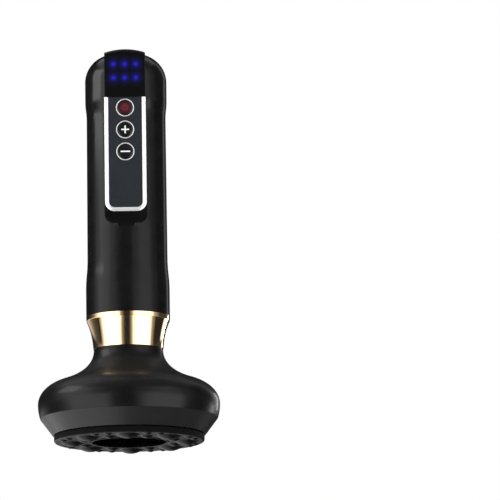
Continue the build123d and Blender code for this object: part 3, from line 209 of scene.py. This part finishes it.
# The noise stays near one half. These are its values at which the blotches and the smears reach
# their two ends, and how many times as wide as a blotch a smear is.
BLOTCH_ENDS = (0.35, 0.65)
SMEAR_ENDS = (0.3, 0.7)
SMEAR_OVER_BLOTCH = 3.0


def weather(blank, blotch_mm, tones, grain_mm, grain_depth_mm, rough=None):
    """Colour blotches between two tones, a grain in the relief and, between two values of the
    roughness where they are given, smears in the gloss."""
    made, tree, shader, place = blank
    blotch = add(tree, "TexNoise", {"Scale": 1 / (blotch_mm * MM), "Detail": 4.0}, {0: place})
    stops = [(end, linear(tone)) for end, tone in zip(BLOTCH_ENDS, tones)]
    colour = add(tree, "ValToRGB", {"stops": stops}, {0: blotch})
    tree.links.new(colour.outputs[0], shader.inputs["Base Color"])
    grain = add(tree, "TexNoise", {"Scale": 1 / (grain_mm * MM), "Detail": 2.0}, {0: place})
    relief = add(
        tree, "Bump", {"Strength": 0.5, "Distance": grain_depth_mm * MM}, {"Height": grain},
    )
    tree.links.new(relief.outputs[0], shader.inputs["Normal"])
    if rough:
        smear = add(tree, "TexNoise", {
            "Scale": 1 / (SMEAR_OVER_BLOTCH * blotch_mm * MM), "Detail": 6.0, "Roughness": 0.65,
            "Distortion": 0.8,
        }, {0: place})
        gloss = add(tree, "MapRange", {
            "From Min": SMEAR_ENDS[0], "From Max": SMEAR_ENDS[1], "To Min": rough[0],
            "To Max": rough[1],
        }, {0: smear})
        tree.links.new(gloss.outputs[0], shader.inputs["Roughness"])
    return made


# Injection-moulded ABS with a high gloss: black, a very slight orange peel, faint smears
gloss_abs = weather(
    new_material("moulded_gloss_abs", "#121213", {"Specular IOR Level": 0.2}),
    6.0, ("#101011", "#161617"), 0.9, 0.0012, (0.12, 0.18),
)
# The bell's own moulding of that ABS: a little softer in its gloss than the handle
blank = new_material("moulded_bell_abs", "#121213", {
    "Specular IOR Level": 0.12, "Coat Weight": 0.12, "Coat Roughness": 0.11,
})
bell_abs = weather(blank, 7.0, ("#101011", "#161617"), 1.1, 0.0012, (0.26, 0.33))
# Its hollow throat, which the polishing wheel can't reach, is rougher by an extra that starts at
# one height above the domes' tips, is full between the next two, and ends at the last
THROAT_EXTRA = 0.25
THROAT_START = 24 * MM
THROAT_FULL = 30 * MM
NECK_FULL = 40 * MM
NECK_END = 46 * MM
made, tree, shader, place = blank
spot = add(tree, "SeparateXYZ", links={0: place})
throat = add(tree, "MapRange", {
    "interpolation_type": "SMOOTHSTEP", "From Min": THROAT_START, "From Max": THROAT_FULL,
    "To Max": THROAT_EXTRA,
}, {0: (spot, "Z")})
neck = add(tree, "MapRange", {
    "interpolation_type": "SMOOTHSTEP", "From Min": NECK_FULL, "From Max": NECK_END,
    "To Min": 1.0, "To Max": 0.0,
}, {0: (spot, "Z")})
extra = add(tree, "Math", {"operation": "MULTIPLY"}, {0: throat, 1: neck})
gloss = shader.inputs["Roughness"].links[0].from_node
duller = add(tree, "Math", {"operation": "ADD"}, {0: gloss, 1: extra})
tree.links.new(duller.outputs[0], shader.inputs["Roughness"])
# The bevelled ring's moulding of the same ABS: a satin face, where the handle's is glossy
satin_abs = weather(
    new_material("moulded_satin_abs", "#141415", {"Specular IOR Level": 0.2}),
    5.0, ("#131314", "#171718"), 0.5, 0.002, (0.24, 0.32),
)
# Moulded silicone: deep black with a fine tooth. Its upright wall comes matt from the mould, and
# its domes soft and half bright, by how far a face looks up or down.
WALL_ROUGHNESS = 0.8
DOME_ROUGHNESS = 0.31
blank = new_material("moulded_silicone", "#0e0e0f", {"Specular IOR Level": 0.08})
black_silicone = weather(blank, 4.0, ("#0b0b0c", "#121213"), 0.35, 0.003)
tree, shader = blank[1:3]
facing = add(tree, "SeparateXYZ", links={0: (add(tree, "NewGeometry"), "Normal")})
lying = add(tree, "Math", {"operation": "ABSOLUTE"}, {0: (facing, "Z")})
gloss = add(tree, "MapRange", {
    "From Min": 0.3, "From Max": 0.9, "To Min": WALL_ROUGHNESS, "To Max": DOME_ROUGHNESS,
}, {0: lying})
tree.links.new(gloss.outputs[0], shader.inputs["Roughness"])
# Rose gold plating over polished ABS: warm metal, almost a mirror, with faint polishing smears
rose_gold = weather(
    new_material("rose_gold_plating", "#edcfa2", {"Metallic": 1.0}),
    8.0, ("#e9c89a", "#f0d3a8"), 0.8, 0.0004, (0.06, 0.1),
)
# Satin silver plating, pale enough to look white in the light: the trim and the key rings
silver_plating = weather(
    new_material("silver_plating", "#f8f8fa", {"Metallic": 0.3, "Specular IOR Level": 0.8}),
    5.0, ("#f5f6f8", "#fdfdfe"), 0.4, 0.0006, (0.2, 0.27),
)
# Lacquered plate: slate grey with a soft shine and a fine tooth
slate_lacquer = weather(
    new_material("slate_lacquer", "#292e33", {"Specular IOR Level": 0.25}),
    3.0, ("#272c31", "#2b3035"), 0.3, 0.0006, (0.32, 0.4),
)
# Polished ABS of the key caps: near black with a glassy face
key_gloss = weather(
    new_material("key_cap_gloss", "#17191c", {"Specular IOR Level": 0.35}),
    2.0, ("#15171a", "#1b1e22"), 0.3, 0.0006, (0.1, 0.18),
)
# Pad-printed signs: a chalky white ink with a painted glow, a faint white emission with no lamp
# behind it, that keeps it bright to read on the glossy caps
white_ink_painted_glow = weather(
    new_material("white_ink_painted_glow", "#f2f2f0", {"Specular IOR Level": 0.3, "Emission Strength": 0.25,
                                          "Emission Color": linear("#ffffff")}),
    1.0, ("#ececea", "#f8f8f6"), 0.2, 0.001, (0.4, 0.5),
)

# Finishes of the works inside: name, colour, shader values, width of the blotches and their two
# tones, width and depth of the grain, and the two ends of the roughness. All sizes are in
# millimetres.
inner_finishes = {
    # Glass and epoxy laminate under green solder mask: half glossy, with a fine tooth
    "board_laminate": ("#1d4a2c", {"Coat Weight": 0.4}, 3.0, ("#184026", "#245736"), 0.25, 0.004,
                       (0.3, 0.42)),
    # Moulded epoxy of the chips: matt charcoal
    "chip_resin": ("#1b1b1c", {}, 1.2, ("#181819", "#212122"), 0.15, 0.004, (0.5, 0.65)),
    # Glass-filled nylon of switches, cradle, pump and valve: dull, mottled by the fibres in it
    "glass_filled_nylon": ("#2b2b2d", {}, 4.0, ("#262628", "#323235"), 0.4, 0.006, (0.45, 0.6)),
    # Natural acetal of the plungers and the light guide: waxy white
    "white_acetal": ("#e6e4de", {"Subsurface Weight": 0.1, "Subsurface Scale": 0.001}, 3.0,
                     ("#e0ded7", "#eceae5"), 0.5, 0.002, (0.3, 0.4)),
    # Blue-tinted epoxy of the lamps: glassy
    "lamp_epoxy": ("#2c3f9a", {"Coat Weight": 1.0}, 0.6, ("#22307c", "#3a52c0"), 0.2, 0.001,
                   (0.08, 0.16)),
    # Zinc-plated steel of screws, shaft, spring and socket: cool grey, softly blotched
    "zinc_steel": ("#b4b8bc", {"Metallic": 1.0}, 2.5, ("#a6abb0", "#c2c5c8"), 0.3, 0.002,
                   (0.22, 0.4)),
    # Deep-drawn steel of the motor can: grey with a satin shine and broad smears
    "drawn_steel": ("#9ea2a6", {"Metallic": 1.0}, 6.0, ("#92969b", "#abafb2"), 0.2, 0.002,
                    (0.25, 0.38)),
    # Sintered ferrite: dark, matt and slightly pitted
    "sintered_ferrite": ("#33312f", {}, 1.5, ("#2b2927", "#3c3936"), 0.3, 0.012, (0.6, 0.8)),
    # Turned brass of the hub: warm yellow, with the fine tooth that the tool leaves
    "turned_brass": ("#c9a45c", {"Metallic": 1.0}, 2.0, ("#bd9850", "#d6b26b"), 0.2, 0.003,
                     (0.2, 0.32)),
    # Rolled nickel strip on the cell: bright and warm grey, with faint smears
    "rolled_nickel": ("#c3bfb6", {"Metallic": 1.0}, 2.0, ("#b7b3aa", "#cfcbc3"), 0.2, 0.001,
                      (0.2, 0.34)),
    # Shrunk vinyl sleeve of the cell: blue and glossy, slightly wavy
    "shrink_vinyl": ("#1f5d86", {"Coat Weight": 0.5}, 7.0, ("#1a5379", "#276a96"), 1.2, 0.01,
                     (0.22, 0.36)),
    # Nitrile rubber of the sleeve, the diaphragm and the seal: dull black with greyish bloom
    "nitrile_rubber": ("#1c1c1b", {}, 5.0, ("#171716", "#262624"), 0.5, 0.008, (0.6, 0.75)),
    # Extruded silicone of the hoses: milky and half clear
    "milky_silicone": ("#c9ccca", {"Transmission Weight": 0.35, "IOR": 1.41}, 3.0,
                       ("#c2c5c3", "#d2d5d3"), 0.6, 0.002, (0.3, 0.42)),
    # Polyimide film of the heater: glossy amber, mottled by the foil under it
    "polyimide_film": ("#b8772a", {"Coat Weight": 0.6}, 2.0, ("#a4671f", "#c98a3c"), 0.8, 0.004,
                       (0.2, 0.34)),
    # Needled felt of the filter: pale, matt and fuzzy
    "needled_felt": ("#d8d4c8", {"Sheen Weight": 0.4}, 0.8, ("#c9c5b8", "#e4e1d6"), 0.15, 0.03,
                     (0.8, 0.95)),
}
works = {name: weather(new_material(name, *values[:2]), *values[2:])
         for name, values in inner_finishes.items()}


# How long one wave of the stripes is at scale 1, the heights of the wave at which a stripe has its
# two tones, and how wide the hazy patches on it are
WAVE_LENGTH = 0.314
STRIPE_ENDS = (0.3, 0.6)
HAZE_WIDTH = 2.0 * MM


def striped(name, base, settings, tones, pitch_mm, direction, depth_mm, rough):
    """A finish with parallel stripes of a given pitch, such as wire turns or contact strips."""
    made, tree, shader, place = new_material(name, base, settings)
    bands = add(tree, "TexWave", {
        "bands_direction": direction, "Scale": WAVE_LENGTH / (pitch_mm * MM), "Distortion": 0.3,
        "Detail": 1.0,
    }, {0: place})
    stops = [(end, linear(tone)) for end, tone in zip(STRIPE_ENDS, tones)]
    colour = add(tree, "ValToRGB", {"stops": stops}, {0: bands})
    relief = add(
        tree, "Bump", {"Strength": 0.8, "Distance": depth_mm * MM}, {"Height": (bands, 1)},
    )
    haze = add(tree, "TexNoise", {"Scale": 1 / HAZE_WIDTH, "Detail": 3.0}, {0: place})
    gloss = add(tree, "MapRange", {"To Min": rough[0], "To Max": rough[1]}, {0: haze})
    tree.links.new(colour.outputs[0], shader.inputs["Base Color"])
    tree.links.new(relief.outputs[0], shader.inputs["Normal"])
    tree.links.new(gloss.outputs[0], shader.inputs["Roughness"])
    return made


# Enamelled copper wire on the armature and in the valve coil: brown and copper, turn beside turn
copper_turns = striped(
    "enamelled_copper", "#b0622d", {"Metallic": 0.9}, ("#7a3d18", "#c9773c"), 0.35, "Z", 0.06,
    (0.2, 0.35),
)
# Tongue of the charging socket: gold contact strips in black liquid-crystal polymer
contact_tongue = striped(
    "contact_tongue", "#1a1a1a", {"Specular IOR Level": 0.4}, ("#141414", "#d3a952"), 0.5, "X",
    0.03, (0.25, 0.4),
)

# Smoked acrylic over six blue lamps: nearly black and glossy. The lamps stand in two rows of three,
# and their light spreads in the lens around each lamp and has faded out at its reach. It shows
# only where the lens faces the front, with a normal past LENS_FRONT.
LAMP_PITCH = 5.65 * MM
LAMP_ROW = 7.0 * MM
LAMP_LOW = 184.4 * MM
LAMP_REACH = 5.0 * MM
LENS_SMEAR = 9.0 * MM
LENS_FRONT = -0.7


def from_nearest(tree, coordinate, pitch, first, last):
    """How far a coordinate is from the nearest of the lamps at whole pitches, first to last."""
    pitches = add(tree, "Math", {"operation": "DIVIDE", 1: pitch}, {0: coordinate})
    nearest = add(tree, "Math", {"operation": "ROUND"}, {0: pitches})
    nearest = add(tree, "Clamp", {"Min": first, "Max": last}, {0: nearest})
    rest = add(tree, "Math", {"operation": "SUBTRACT"}, {0: pitches, 1: nearest})
    return add(tree, "Math", {"operation": "MULTIPLY", 1: pitch}, {0: rest})


made, tree, shader, place = new_material("smoked_acrylic", "#0b0b0d", {
    "Specular IOR Level": 0.22, "Emission Strength": 1.0,
})
spot = add(tree, "SeparateXYZ", links={0: place})
rise = add(tree, "Math", {"operation": "SUBTRACT", 1: LAMP_LOW}, {0: (spot, "Z")})
aside = from_nearest(tree, (spot, "X"), LAMP_PITCH, -1.0, 1.0)
above = from_nearest(tree, rise, LAMP_ROW, 0.0, 1.0)
flat = add(tree, "CombineXYZ", links={"X": aside, "Y": above})
reach = add(tree, "VectorMath", {"operation": "LENGTH"}, {0: flat})
reach = add(tree, "Math", {"operation": "DIVIDE", 1: LAMP_REACH}, {0: (reach, "Value")})
glow = add(tree, "ValToRGB", {"easing": "EASE", "stops": [
    (0.0, linear("#342ecc")), (0.09, linear("#241eb6")), (0.2, linear("#181494")),
    (0.35, linear("#0b0b50")), (0.55, linear("#05062c")), (0.8, linear("#020214")),
    (1.0, linear("#000000")),
]}, {0: reach})
facing = add(tree, "SeparateXYZ", links={0: (add(tree, "NewGeometry"), "Normal")})
front = add(tree, "Math", {"operation": "LESS_THAN", 1: LENS_FRONT}, {0: (facing, "Y")})
shine = add(tree, "Mix", {"data_type": "RGBA", 6: linear("#000000")}, {0: front, 7: glow})
tree.links.new(shine.outputs[2], shader.inputs["Emission Color"])
smear = add(tree, "TexNoise", {"Scale": 1 / LENS_SMEAR, "Detail": 5.0}, {0: place})
gloss = add(tree, "MapRange", {"To Min": 0.06, "To Max": 0.13}, {0: smear})
tree.links.new(gloss.outputs[0], shader.inputs["Roughness"])
smoked_acrylic = made

# The power key's cap: glassy as the others, and lit from inside by a deep red lamp
POWER_Z = sum(corner.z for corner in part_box("power_button")) / 2
RED_REACH = 4.0 * MM
made, tree, shader, place = new_material("lit_key_cap", "#1a1416", {
    "Roughness": 0.14, "Specular IOR Level": 0.35, "Emission Strength": 1.0,
})
centred = add(tree, "Mapping", {"Location": (0, 0, -POWER_Z)}, {0: place})
flat = add(tree, "VectorMath", {"operation": "MULTIPLY", 1: (1, 0, 1)}, {0: centred})
reach = add(tree, "VectorMath", {"operation": "LENGTH"}, {0: flat})
reach = add(tree, "Math", {"operation": "DIVIDE", 1: RED_REACH}, {0: (reach, "Value")})
glow = add(tree, "ValToRGB", {"easing": "EASE", "stops": [
    (0.0, linear("#5c1a22")), (0.42, linear("#561820")), (0.68, linear("#3a1016")),
    (0.85, linear("#0c0406")),
]}, {0: reach})
tree.links.new(glow.outputs[0], shader.inputs["Emission Color"])
lit_key_cap = made

# The power sign, a shade darker than the lit cap behind it
dark_ink = weather(
    new_material("dark_red_ink", "#2c0c10", {"Emission Color": linear("#44121a"),
                                              "Emission Strength": 1.0}),
    1.0, ("#250a0d", "#330f14"), 0.2, 0.001, (0.4, 0.5),
)


def select_only(piece):
    """Makes a piece the active one and the only one selected."""
    bpy.ops.object.select_all(action="DESELECT")
    piece.select_set(True)
    bpy.context.view_layer.objects.active = piece


def pick(mode, test):
    """In edit mode, selects the faces, edges or points that pass the test, and no others."""
    mesh = bmesh.from_edit_mesh(bpy.context.object.data)
    bpy.ops.mesh.select_mode(type=mode)
    for kind in (mesh.verts, mesh.edges, mesh.faces):
        for element in kind:
            element.select = False
    for element in {"VERT": mesh.verts, "EDGE": mesh.edges, "FACE": mesh.faces}[mode]:
        if test(element):
            element.select = True
    mesh.select_flush_mode()
    bmesh.update_edit_mesh(bpy.context.object.data)


def face_outwards():
    """In edit mode, turns all faces outwards."""
    bpy.ops.mesh.select_all(action="SELECT")
    bpy.ops.mesh.normals_make_consistent(inside=False)


def leave_edit_mode(smooth_below=None):
    """Back to object mode. Where an angle is given, the piece is shaded smooth across every edge
    that turns by fewer degrees."""
    bpy.ops.object.mode_set(mode="OBJECT")
    if smooth_below:
        bpy.ops.object.shade_smooth_by_angle(angle=math.radians(smooth_below))


def soften(piece, width_mm, segments, limit):
    """Rounds every edge that turns by more degrees than the limit, and keeps the flats beside it
    flat."""
    select_only(piece)
    bevel = piece.modifiers.new("edge", "BEVEL")
    bevel.width = width_mm * MM
    bevel.segments = segments
    bevel.limit_method = "ANGLE"
    bevel.angle_limit = math.radians(limit)
    bpy.ops.object.modifier_apply(modifier=bevel.name)
    normals = piece.modifiers.new("flats", "WEIGHTED_NORMAL")
    normals.keep_sharp = True
    bpy.ops.object.modifier_apply(modifier=normals.name)


def settle(piece, name, body, finish, replaced=None):
    """Ends a piece: its place goes into its mesh, and it is named, given its finish, carried by
    its body and, where it stands for a node, put in that node's place."""
    select_only(piece)
    bpy.ops.object.transform_apply(location=True, rotation=True, scale=True)
    piece.name = name
    piece.data.materials.clear()
    piece.data.materials.append(finish)
    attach(piece, body)
    if replaced:
        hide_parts(replaced)


def add_circle(radius, place, vertices=96, front=False, fill="NGON"):
    """A flat disc or a bare circle, lying or facing the front, with its turn in its mesh. It is
    left in edit mode and selected all over."""
    bpy.ops.object.select_all(action="DESELECT")
    bpy.ops.mesh.primitive_circle_add(
        vertices=vertices, radius=radius, fill_type=fill, location=place,
        rotation=(math.pi / 2 if front else 0, 0, 0),
    )
    bpy.ops.object.transform_apply(location=True, rotation=True, scale=True)
    bpy.ops.object.mode_set(mode="EDIT")
    bpy.ops.mesh.select_all(action="SELECT")
    return bpy.context.object


def add_panel(width, height, place):
    """An upright rectangle that faces the front, with its size in its mesh. It is left in edit
    mode and selected all over."""
    bpy.ops.object.select_all(action="DESELECT")
    bpy.ops.mesh.primitive_plane_add(size=1, location=place, rotation=(math.pi / 2, 0, 0))
    panel = bpy.context.object
    panel.scale = (width, height, 1)
    bpy.ops.object.transform_apply(location=True, rotation=True, scale=True)
    bpy.ops.object.mode_set(mode="EDIT")
    bpy.ops.mesh.select_all(action="SELECT")
    return panel


def extrude(along):
    """In edit mode, extrudes what is selected along a vector."""
    bpy.ops.mesh.extrude_region_move(TRANSFORM_OT_translate={"value": along})


def joined(pieces):
    """Several pieces as one."""
    bpy.ops.object.select_all(action="DESELECT")
    for piece in pieces:
        piece.select_set(True)
    bpy.context.view_layer.objects.active = pieces[0]
    bpy.ops.object.join()
    return bpy.context.object


# Moulded and stamped parts keep the form of their solids, with the small radii of the real edges:
# node, name of the piece, finish, slot, radius in millimetres and the least turn, in degrees, of
# an edge that gets it
rounded_parts = [
    ("front_shell", "case_front", gloss_abs, "black_abs", 0.16, 30),
    ("rear_shell", "case_rear", gloss_abs, "black_abs", 0.16, 30),
    ("head_shell", "bell", bell_abs, "black_abs", 0.2, 30),
    ("head_rim", "bevel_ring", satin_abs, "rim_abs", 0.22, 25),
    ("suction_cup", "cup", gloss_abs, "cup_abs", 0.25, 30),
    ("display_lens", "lamp_lens", smoked_acrylic, "smoked_lens", 0.12, 30),
    ("key_panel", "panel_plate", slate_lacquer, "panel_lacquer", 0.06, 30),
    ("massage_pad", "dome_pad", black_silicone, "pad_silicone", 0.45, 22),
    ("charging_socket", "port_shell", works["zinc_steel"], "socket_steel", 0.05, 30),
    ("socket_tongue", "port_tongue", contact_tongue, "socket_steel", 0.05, 30),
]
SAME_POINT = 0.001 * MM
FLAT_TURN = 0.5
PAD_EDGE = 0.9 * MM
NEARNESS = 0.01 * MM
for node, name, finish, slot, radius_mm, limit in rounded_parts:
    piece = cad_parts[node].copy()
    piece.data = piece.data.copy()
    bpy.context.scene.collection.objects.link(piece)
    select_only(piece)
    bpy.ops.object.mode_set(mode="EDIT")
    bpy.ops.mesh.select_all(action="SELECT")
    bpy.ops.mesh.remove_doubles(threshold=SAME_POINT)
    bpy.ops.mesh.dissolve_limited(angle_limit=math.radians(FLAT_TURN))
    if node == "massage_pad":
        # The level edges round the outside of the wall
        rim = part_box(node)[1].x
        pick("EDGE", lambda edge: all(
            end.co.xy.length > rim - NEARNESS for end in edge.verts
        ) and abs(edge.verts[0].co.z - edge.verts[1].co.z) < NEARNESS)
        bpy.ops.mesh.bevel(offset=PAD_EDGE, segments=5, affect="EDGES")
    leave_edit_mode(smooth_below=50)
    soften(piece, radius_mm, 3, limit)
    settle(piece, name, "housing", finish, node)

# Collar: a lathe form of radii and levels, from the bore over the foot and up the outside. The
# flare widens evenly by its lean and, on top of that, by a power of the height, so that it sweeps
# out below the band. The band leans out a little and has broken edges.
BORE = 16.8 * MM
FOOT = 17.65 * MM
FLARE_TOP = 20.95 * MM
FLARE_LEAN = 0.9 * MM
FLARE_POWER = 2.4
FLARE_STEPS = 24
BAND_HEIGHT = 2.3 * MM
BAND_LEAN = 0.09 * MM
BAND_FOOT_BREAK = 0.1 * MM
BROKEN_EDGE = 0.12 * MM
BORE_EDGE = 0.15 * MM
LATHE_POINTS = 192
low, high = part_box("collar")
band_foot = high.z - BAND_HEIGHT
sweep = FLARE_TOP - FOOT - FLARE_LEAN
profile = [(BORE, low.z + BORE_EDGE), (BORE + BORE_EDGE, low.z)]
for step in range(FLARE_STEPS + 1):
    along = step / FLARE_STEPS
    radius = FOOT + FLARE_LEAN * along + sweep * along**FLARE_POWER
    profile.append((radius, low.z + (band_foot - low.z) * along))
profile += [
    (high.x - BAND_LEAN - BAND_FOOT_BREAK, band_foot),
    (high.x - BAND_LEAN, band_foot + BROKEN_EDGE),
    (high.x, high.z - BROKEN_EDGE),
    (high.x - BROKEN_EDGE, high.z),
    (BORE, high.z),
]
collar = add_circle(profile[0][0], (0, 0, profile[0][1]), LATHE_POINTS, fill="NOTHING")
for (radius, level), (last_radius, last_level) in zip(profile[1:], profile):
    extrude((0, 0, level - last_level))
    swell = radius / last_radius
    bpy.ops.transform.resize(value=(swell, swell, 1), center_override=(0, 0, level))
pick("EDGE", lambda edge: edge.is_boundary)
bpy.ops.mesh.bridge_edge_loops()
face_outwards()
leave_edit_mode(smooth_below=30)
settle(collar, "gold_collar", "housing", rose_gold, "collar")

# Trim around the panel: a U of one bar, with two bevels that fall away from a narrow ridge. It is
# a whole frame at first, a little inside the solid's outline, and is then cut off at the top.
BAR = 2.0 * MM
RIDGE = 0.12 * MM
FALL = 0.36 * MM
CORNER = 4.8 * MM
INSIDE = 0.25 * MM
low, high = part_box("panel_trim")
rise = high.z - low.z + 2 * BAR
trim = add_panel(high.x - low.x - 2 * INSIDE, rise, (0, low.y, low.z + INSIDE + rise / 2))
pick("VERT", lambda point: point.co.z < low.z + BAR)
bpy.ops.mesh.bevel(offset=CORNER, segments=14, affect="VERTICES")
bpy.ops.mesh.select_all(action="SELECT")
bevel_width = (BAR - RIDGE) / 2
for width in (bevel_width, RIDGE, bevel_width):
    bpy.ops.mesh.inset(thickness=width, depth=0)
bpy.ops.mesh.delete(type="FACE")
bpy.ops.mesh.select_all(action="SELECT")
bpy.ops.mesh.bisect(
    plane_co=(0, 0, high.z), plane_no=(0, 0, 1), clear_outer=True, use_fill=False,
)
pick("VERT", lambda point: any(
    edge.is_boundary and min(end.co.z for end in edge.verts) < high.z - RIDGE
    for edge in point.link_edges
))
bpy.ops.transform.translate(value=(0, FALL, 0))
bpy.ops.mesh.select_all(action="SELECT")
extrude((0, high.y - low.y - FALL, 0))
face_outwards()
leave_edit_mode(smooth_below=20)
soften(trim, 0.08, 2, 25)
settle(trim, "trim_u", "housing", silver_plating, "panel_trim")

# Key rings: turned rings with rounded faces
KEYS = ("power", "plus", "minus")
RING_RADIUS = 4.54 * MM
RING_BAR = 0.46 * MM
low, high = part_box("button_rings")
rings = []
for key in KEYS:
    middle = sum(corner.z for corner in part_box(key + "_button")) / 2
    ring = add_circle(RING_RADIUS, (0, low.y, middle), front=True)
    bpy.ops.mesh.inset(thickness=RING_BAR, depth=0)
    bpy.ops.mesh.delete(type="FACE")
    bpy.ops.mesh.select_all(action="SELECT")
    extrude((0, high.y - low.y, 0))
    face_outwards()
    leave_edit_mode(smooth_below=35)
    soften(ring, 0.17, 4, 35)
    rings.append(ring)
settle(joined(rings), "key_ring_set", "housing", silver_plating, "button_rings")

# Key caps: crowned discs in the rings, each with its sign printed on the crown. The crown is a
# row of insets, each with its width and the rise that it adds, in millimetres. A sign stands out
# of the crown by a hair, and its strokes go on into the cap.
CAP_RADIUS = 3.92 * MM
CAP_DEPTH = 3.0 * MM
CAP_FRONT = -0.9
CROWN = ((0.12, 0.1), (0.16, 0.06), (0.5, 0.09), (0.8, 0.09), (0.9, 0.06), (0.9, 0.03))
SIGN_PROUD = 0.03 * MM
SIGN_DEPTH = 0.16 * MM
STROKE = 0.7 * MM
PLUS_REACH = 1.98 * MM
MINUS_REACH = 2.4 * MM
POWER_RADIUS = 1.45 * MM
POWER_STROKE = 0.42 * MM
POWER_GAP = 1.2 * MM
POWER_BAR = 1.5 * MM
POWER_BAR_RISE = 0.95 * MM
LEFT = Vector((-1, 0, 0))
RIGHT = Vector((1, 0, 0))
DOWN = Vector((0, 0, -1))
UP = Vector((0, 0, 1))


def print_stroke():
    """In edit mode, gives the flat strokes of a sign their depth into the cap."""
    bpy.ops.mesh.select_all(action="SELECT")
    extrude((0, SIGN_DEPTH, 0))
    face_outwards()
    leave_edit_mode()


def closes_arm(edge, centre, side):
    """Whether an edge ends the sign on one side. On a bare square it is half a stroke away."""
    ends = [end.co - centre for end in edge.verts]
    return all(end.dot(side) > 0.4 * STROKE and end.cross(side).length < STROKE for end in ends)


def bar_sign(centre, sides, reach):
    """The plus or the minus: a square whose sides are drawn out to the same reach."""
    sign = add_panel(STROKE, STROKE, centre)
    for side in sides:
        pick("EDGE", lambda edge: closes_arm(edge, centre, side))
        extrude(side * (reach - STROKE / 2))
    print_stroke()
    return sign


def power_sign(centre):
    """A ring that is open at the top, with an upright bar in the gap."""
    ring = add_circle(POWER_RADIUS, centre, 64, front=True)
    bpy.ops.mesh.inset(thickness=POWER_STROKE, depth=0)
    bpy.ops.mesh.delete(type="FACE")
    pick("FACE", lambda face: face.calc_center_median().z > centre.z
         and abs(face.calc_center_median().x) < POWER_GAP / 2)
    bpy.ops.mesh.delete(type="FACE")
    print_stroke()
    bar = add_panel(POWER_STROKE, POWER_BAR, centre + UP * POWER_BAR_RISE)
    print_stroke()
    return joined([ring, bar])


crown_rise = sum(rise for width, rise in CROWN) * MM
for key in KEYS:
    body = key + "_key"
    low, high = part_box(key + "_button")
    middle = (low.z + high.z) / 2
    cap = add_circle(CAP_RADIUS, (0, low.y + crown_rise, middle), front=True)
    extrude((0, CAP_DEPTH, 0))
    face_outwards()
    pick("FACE", lambda face: face.normal.y < CAP_FRONT)
    for width, rise in CROWN:
        bpy.ops.mesh.inset(thickness=width * MM, depth=rise * MM)
    leave_edit_mode(smooth_below=45)
    finish = lit_key_cap if key == "power" else key_gloss
    settle(cap, key + "_cap", body, finish, key + "_button")
    centre = Vector((0, low.y - SIGN_PROUD, middle))
    if key == "power":
        sign = power_sign(centre)
    elif key == "plus":
        sign = bar_sign(centre, (LEFT, RIGHT, DOWN, UP), PLUS_REACH)
    else:
        sign = bar_sign(centre, (LEFT, RIGHT), MINUS_REACH)
    soften(sign, 0.06, 2, 50)
    ink = dark_ink if key == "power" else white_ink_painted_glow
    settle(sign, key + "_sign", body, ink)

# Finishes of the works inside, which keep their solids' own meshes, by the finish
worn_by = {
    "board_laminate": ("main_board", "charge_board"),
    "chip_resin": ("board_chips",),
    "glass_filled_nylon": ("tact_switches", "battery_cradle", "pump_head", "pump_housing",
                           "wobble_plate", "port_nipple", "tee_connector", "valve_body",
                           "motor_end_cap"),
    "white_acetal": ("power_plunger", "plus_plunger", "minus_plunger", "light_guide"),
    "lamp_epoxy": ("indicator_leds",),
    "zinc_steel": ("head_screws", "board_screws", "pump_screws", "motor_terminals",
                   "valve_plunger", "valve_spring", "motor_shaft"),
    "drawn_steel": ("motor_case",),
    "sintered_ferrite": ("motor_magnets",),
    "turned_brass": ("eccentric_hub",),
    "rolled_nickel": ("battery_tabs",),
    "shrink_vinyl": ("battery_cell",),
    "nitrile_rubber": ("pump_sleeve", "diaphragm", "cup_seal"),
    "milky_silicone": ("cup_hose", "pump_hose", "valve_hose"),
    "polyimide_film": ("heater_film",),
    "needled_felt": ("filter_disc",),
}
dressed = {node: works[name] for name, nodes in worn_by.items() for node in nodes}
dressed.update({"armature": copper_turns, "valve_coil": copper_turns, "collar": rose_gold})
dressed.update({"panel_trim": silver_plating, "button_rings": silver_plating})
dressed.update({key + "_button": key_gloss for key in KEYS})
for node, name, finish, slot, radius_mm, limit in rounded_parts:
    dressed[node] = finish
for name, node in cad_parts.items():
    node.data.materials.clear()
    node.data.materials.append(dressed[name])

# Floor: pale and matt. The camera sees through it from below, and reflections pass it.
FLOOR_RADIUS = 3.0
floor = add_circle(FLOOR_RADIUS, (0, 0, 0))
leave_edit_mode()
floor.name = "floor"
made = bpy.data.materials.new("pale_floor")
made.use_nodes = True
tree = made.node_tree
tree.nodes.clear()
open_ways = add(tree, "Math", {"operation": "MAXIMUM"}, {
    0: (add(tree, "LightPath"), "Is Glossy Ray"), 1: (add(tree, "NewGeometry"), "Backfacing"),
})
matt = add(tree, "BsdfDiffuse", {"Color": linear("#f4f4f3")})
mixed = add(tree, "MixShader", links={0: open_ways, 1: matt, 2: add(tree, "BsdfTransparent")})
add(tree, "OutputMaterial", links={"Surface": mixed})
floor.data.materials.append(made)
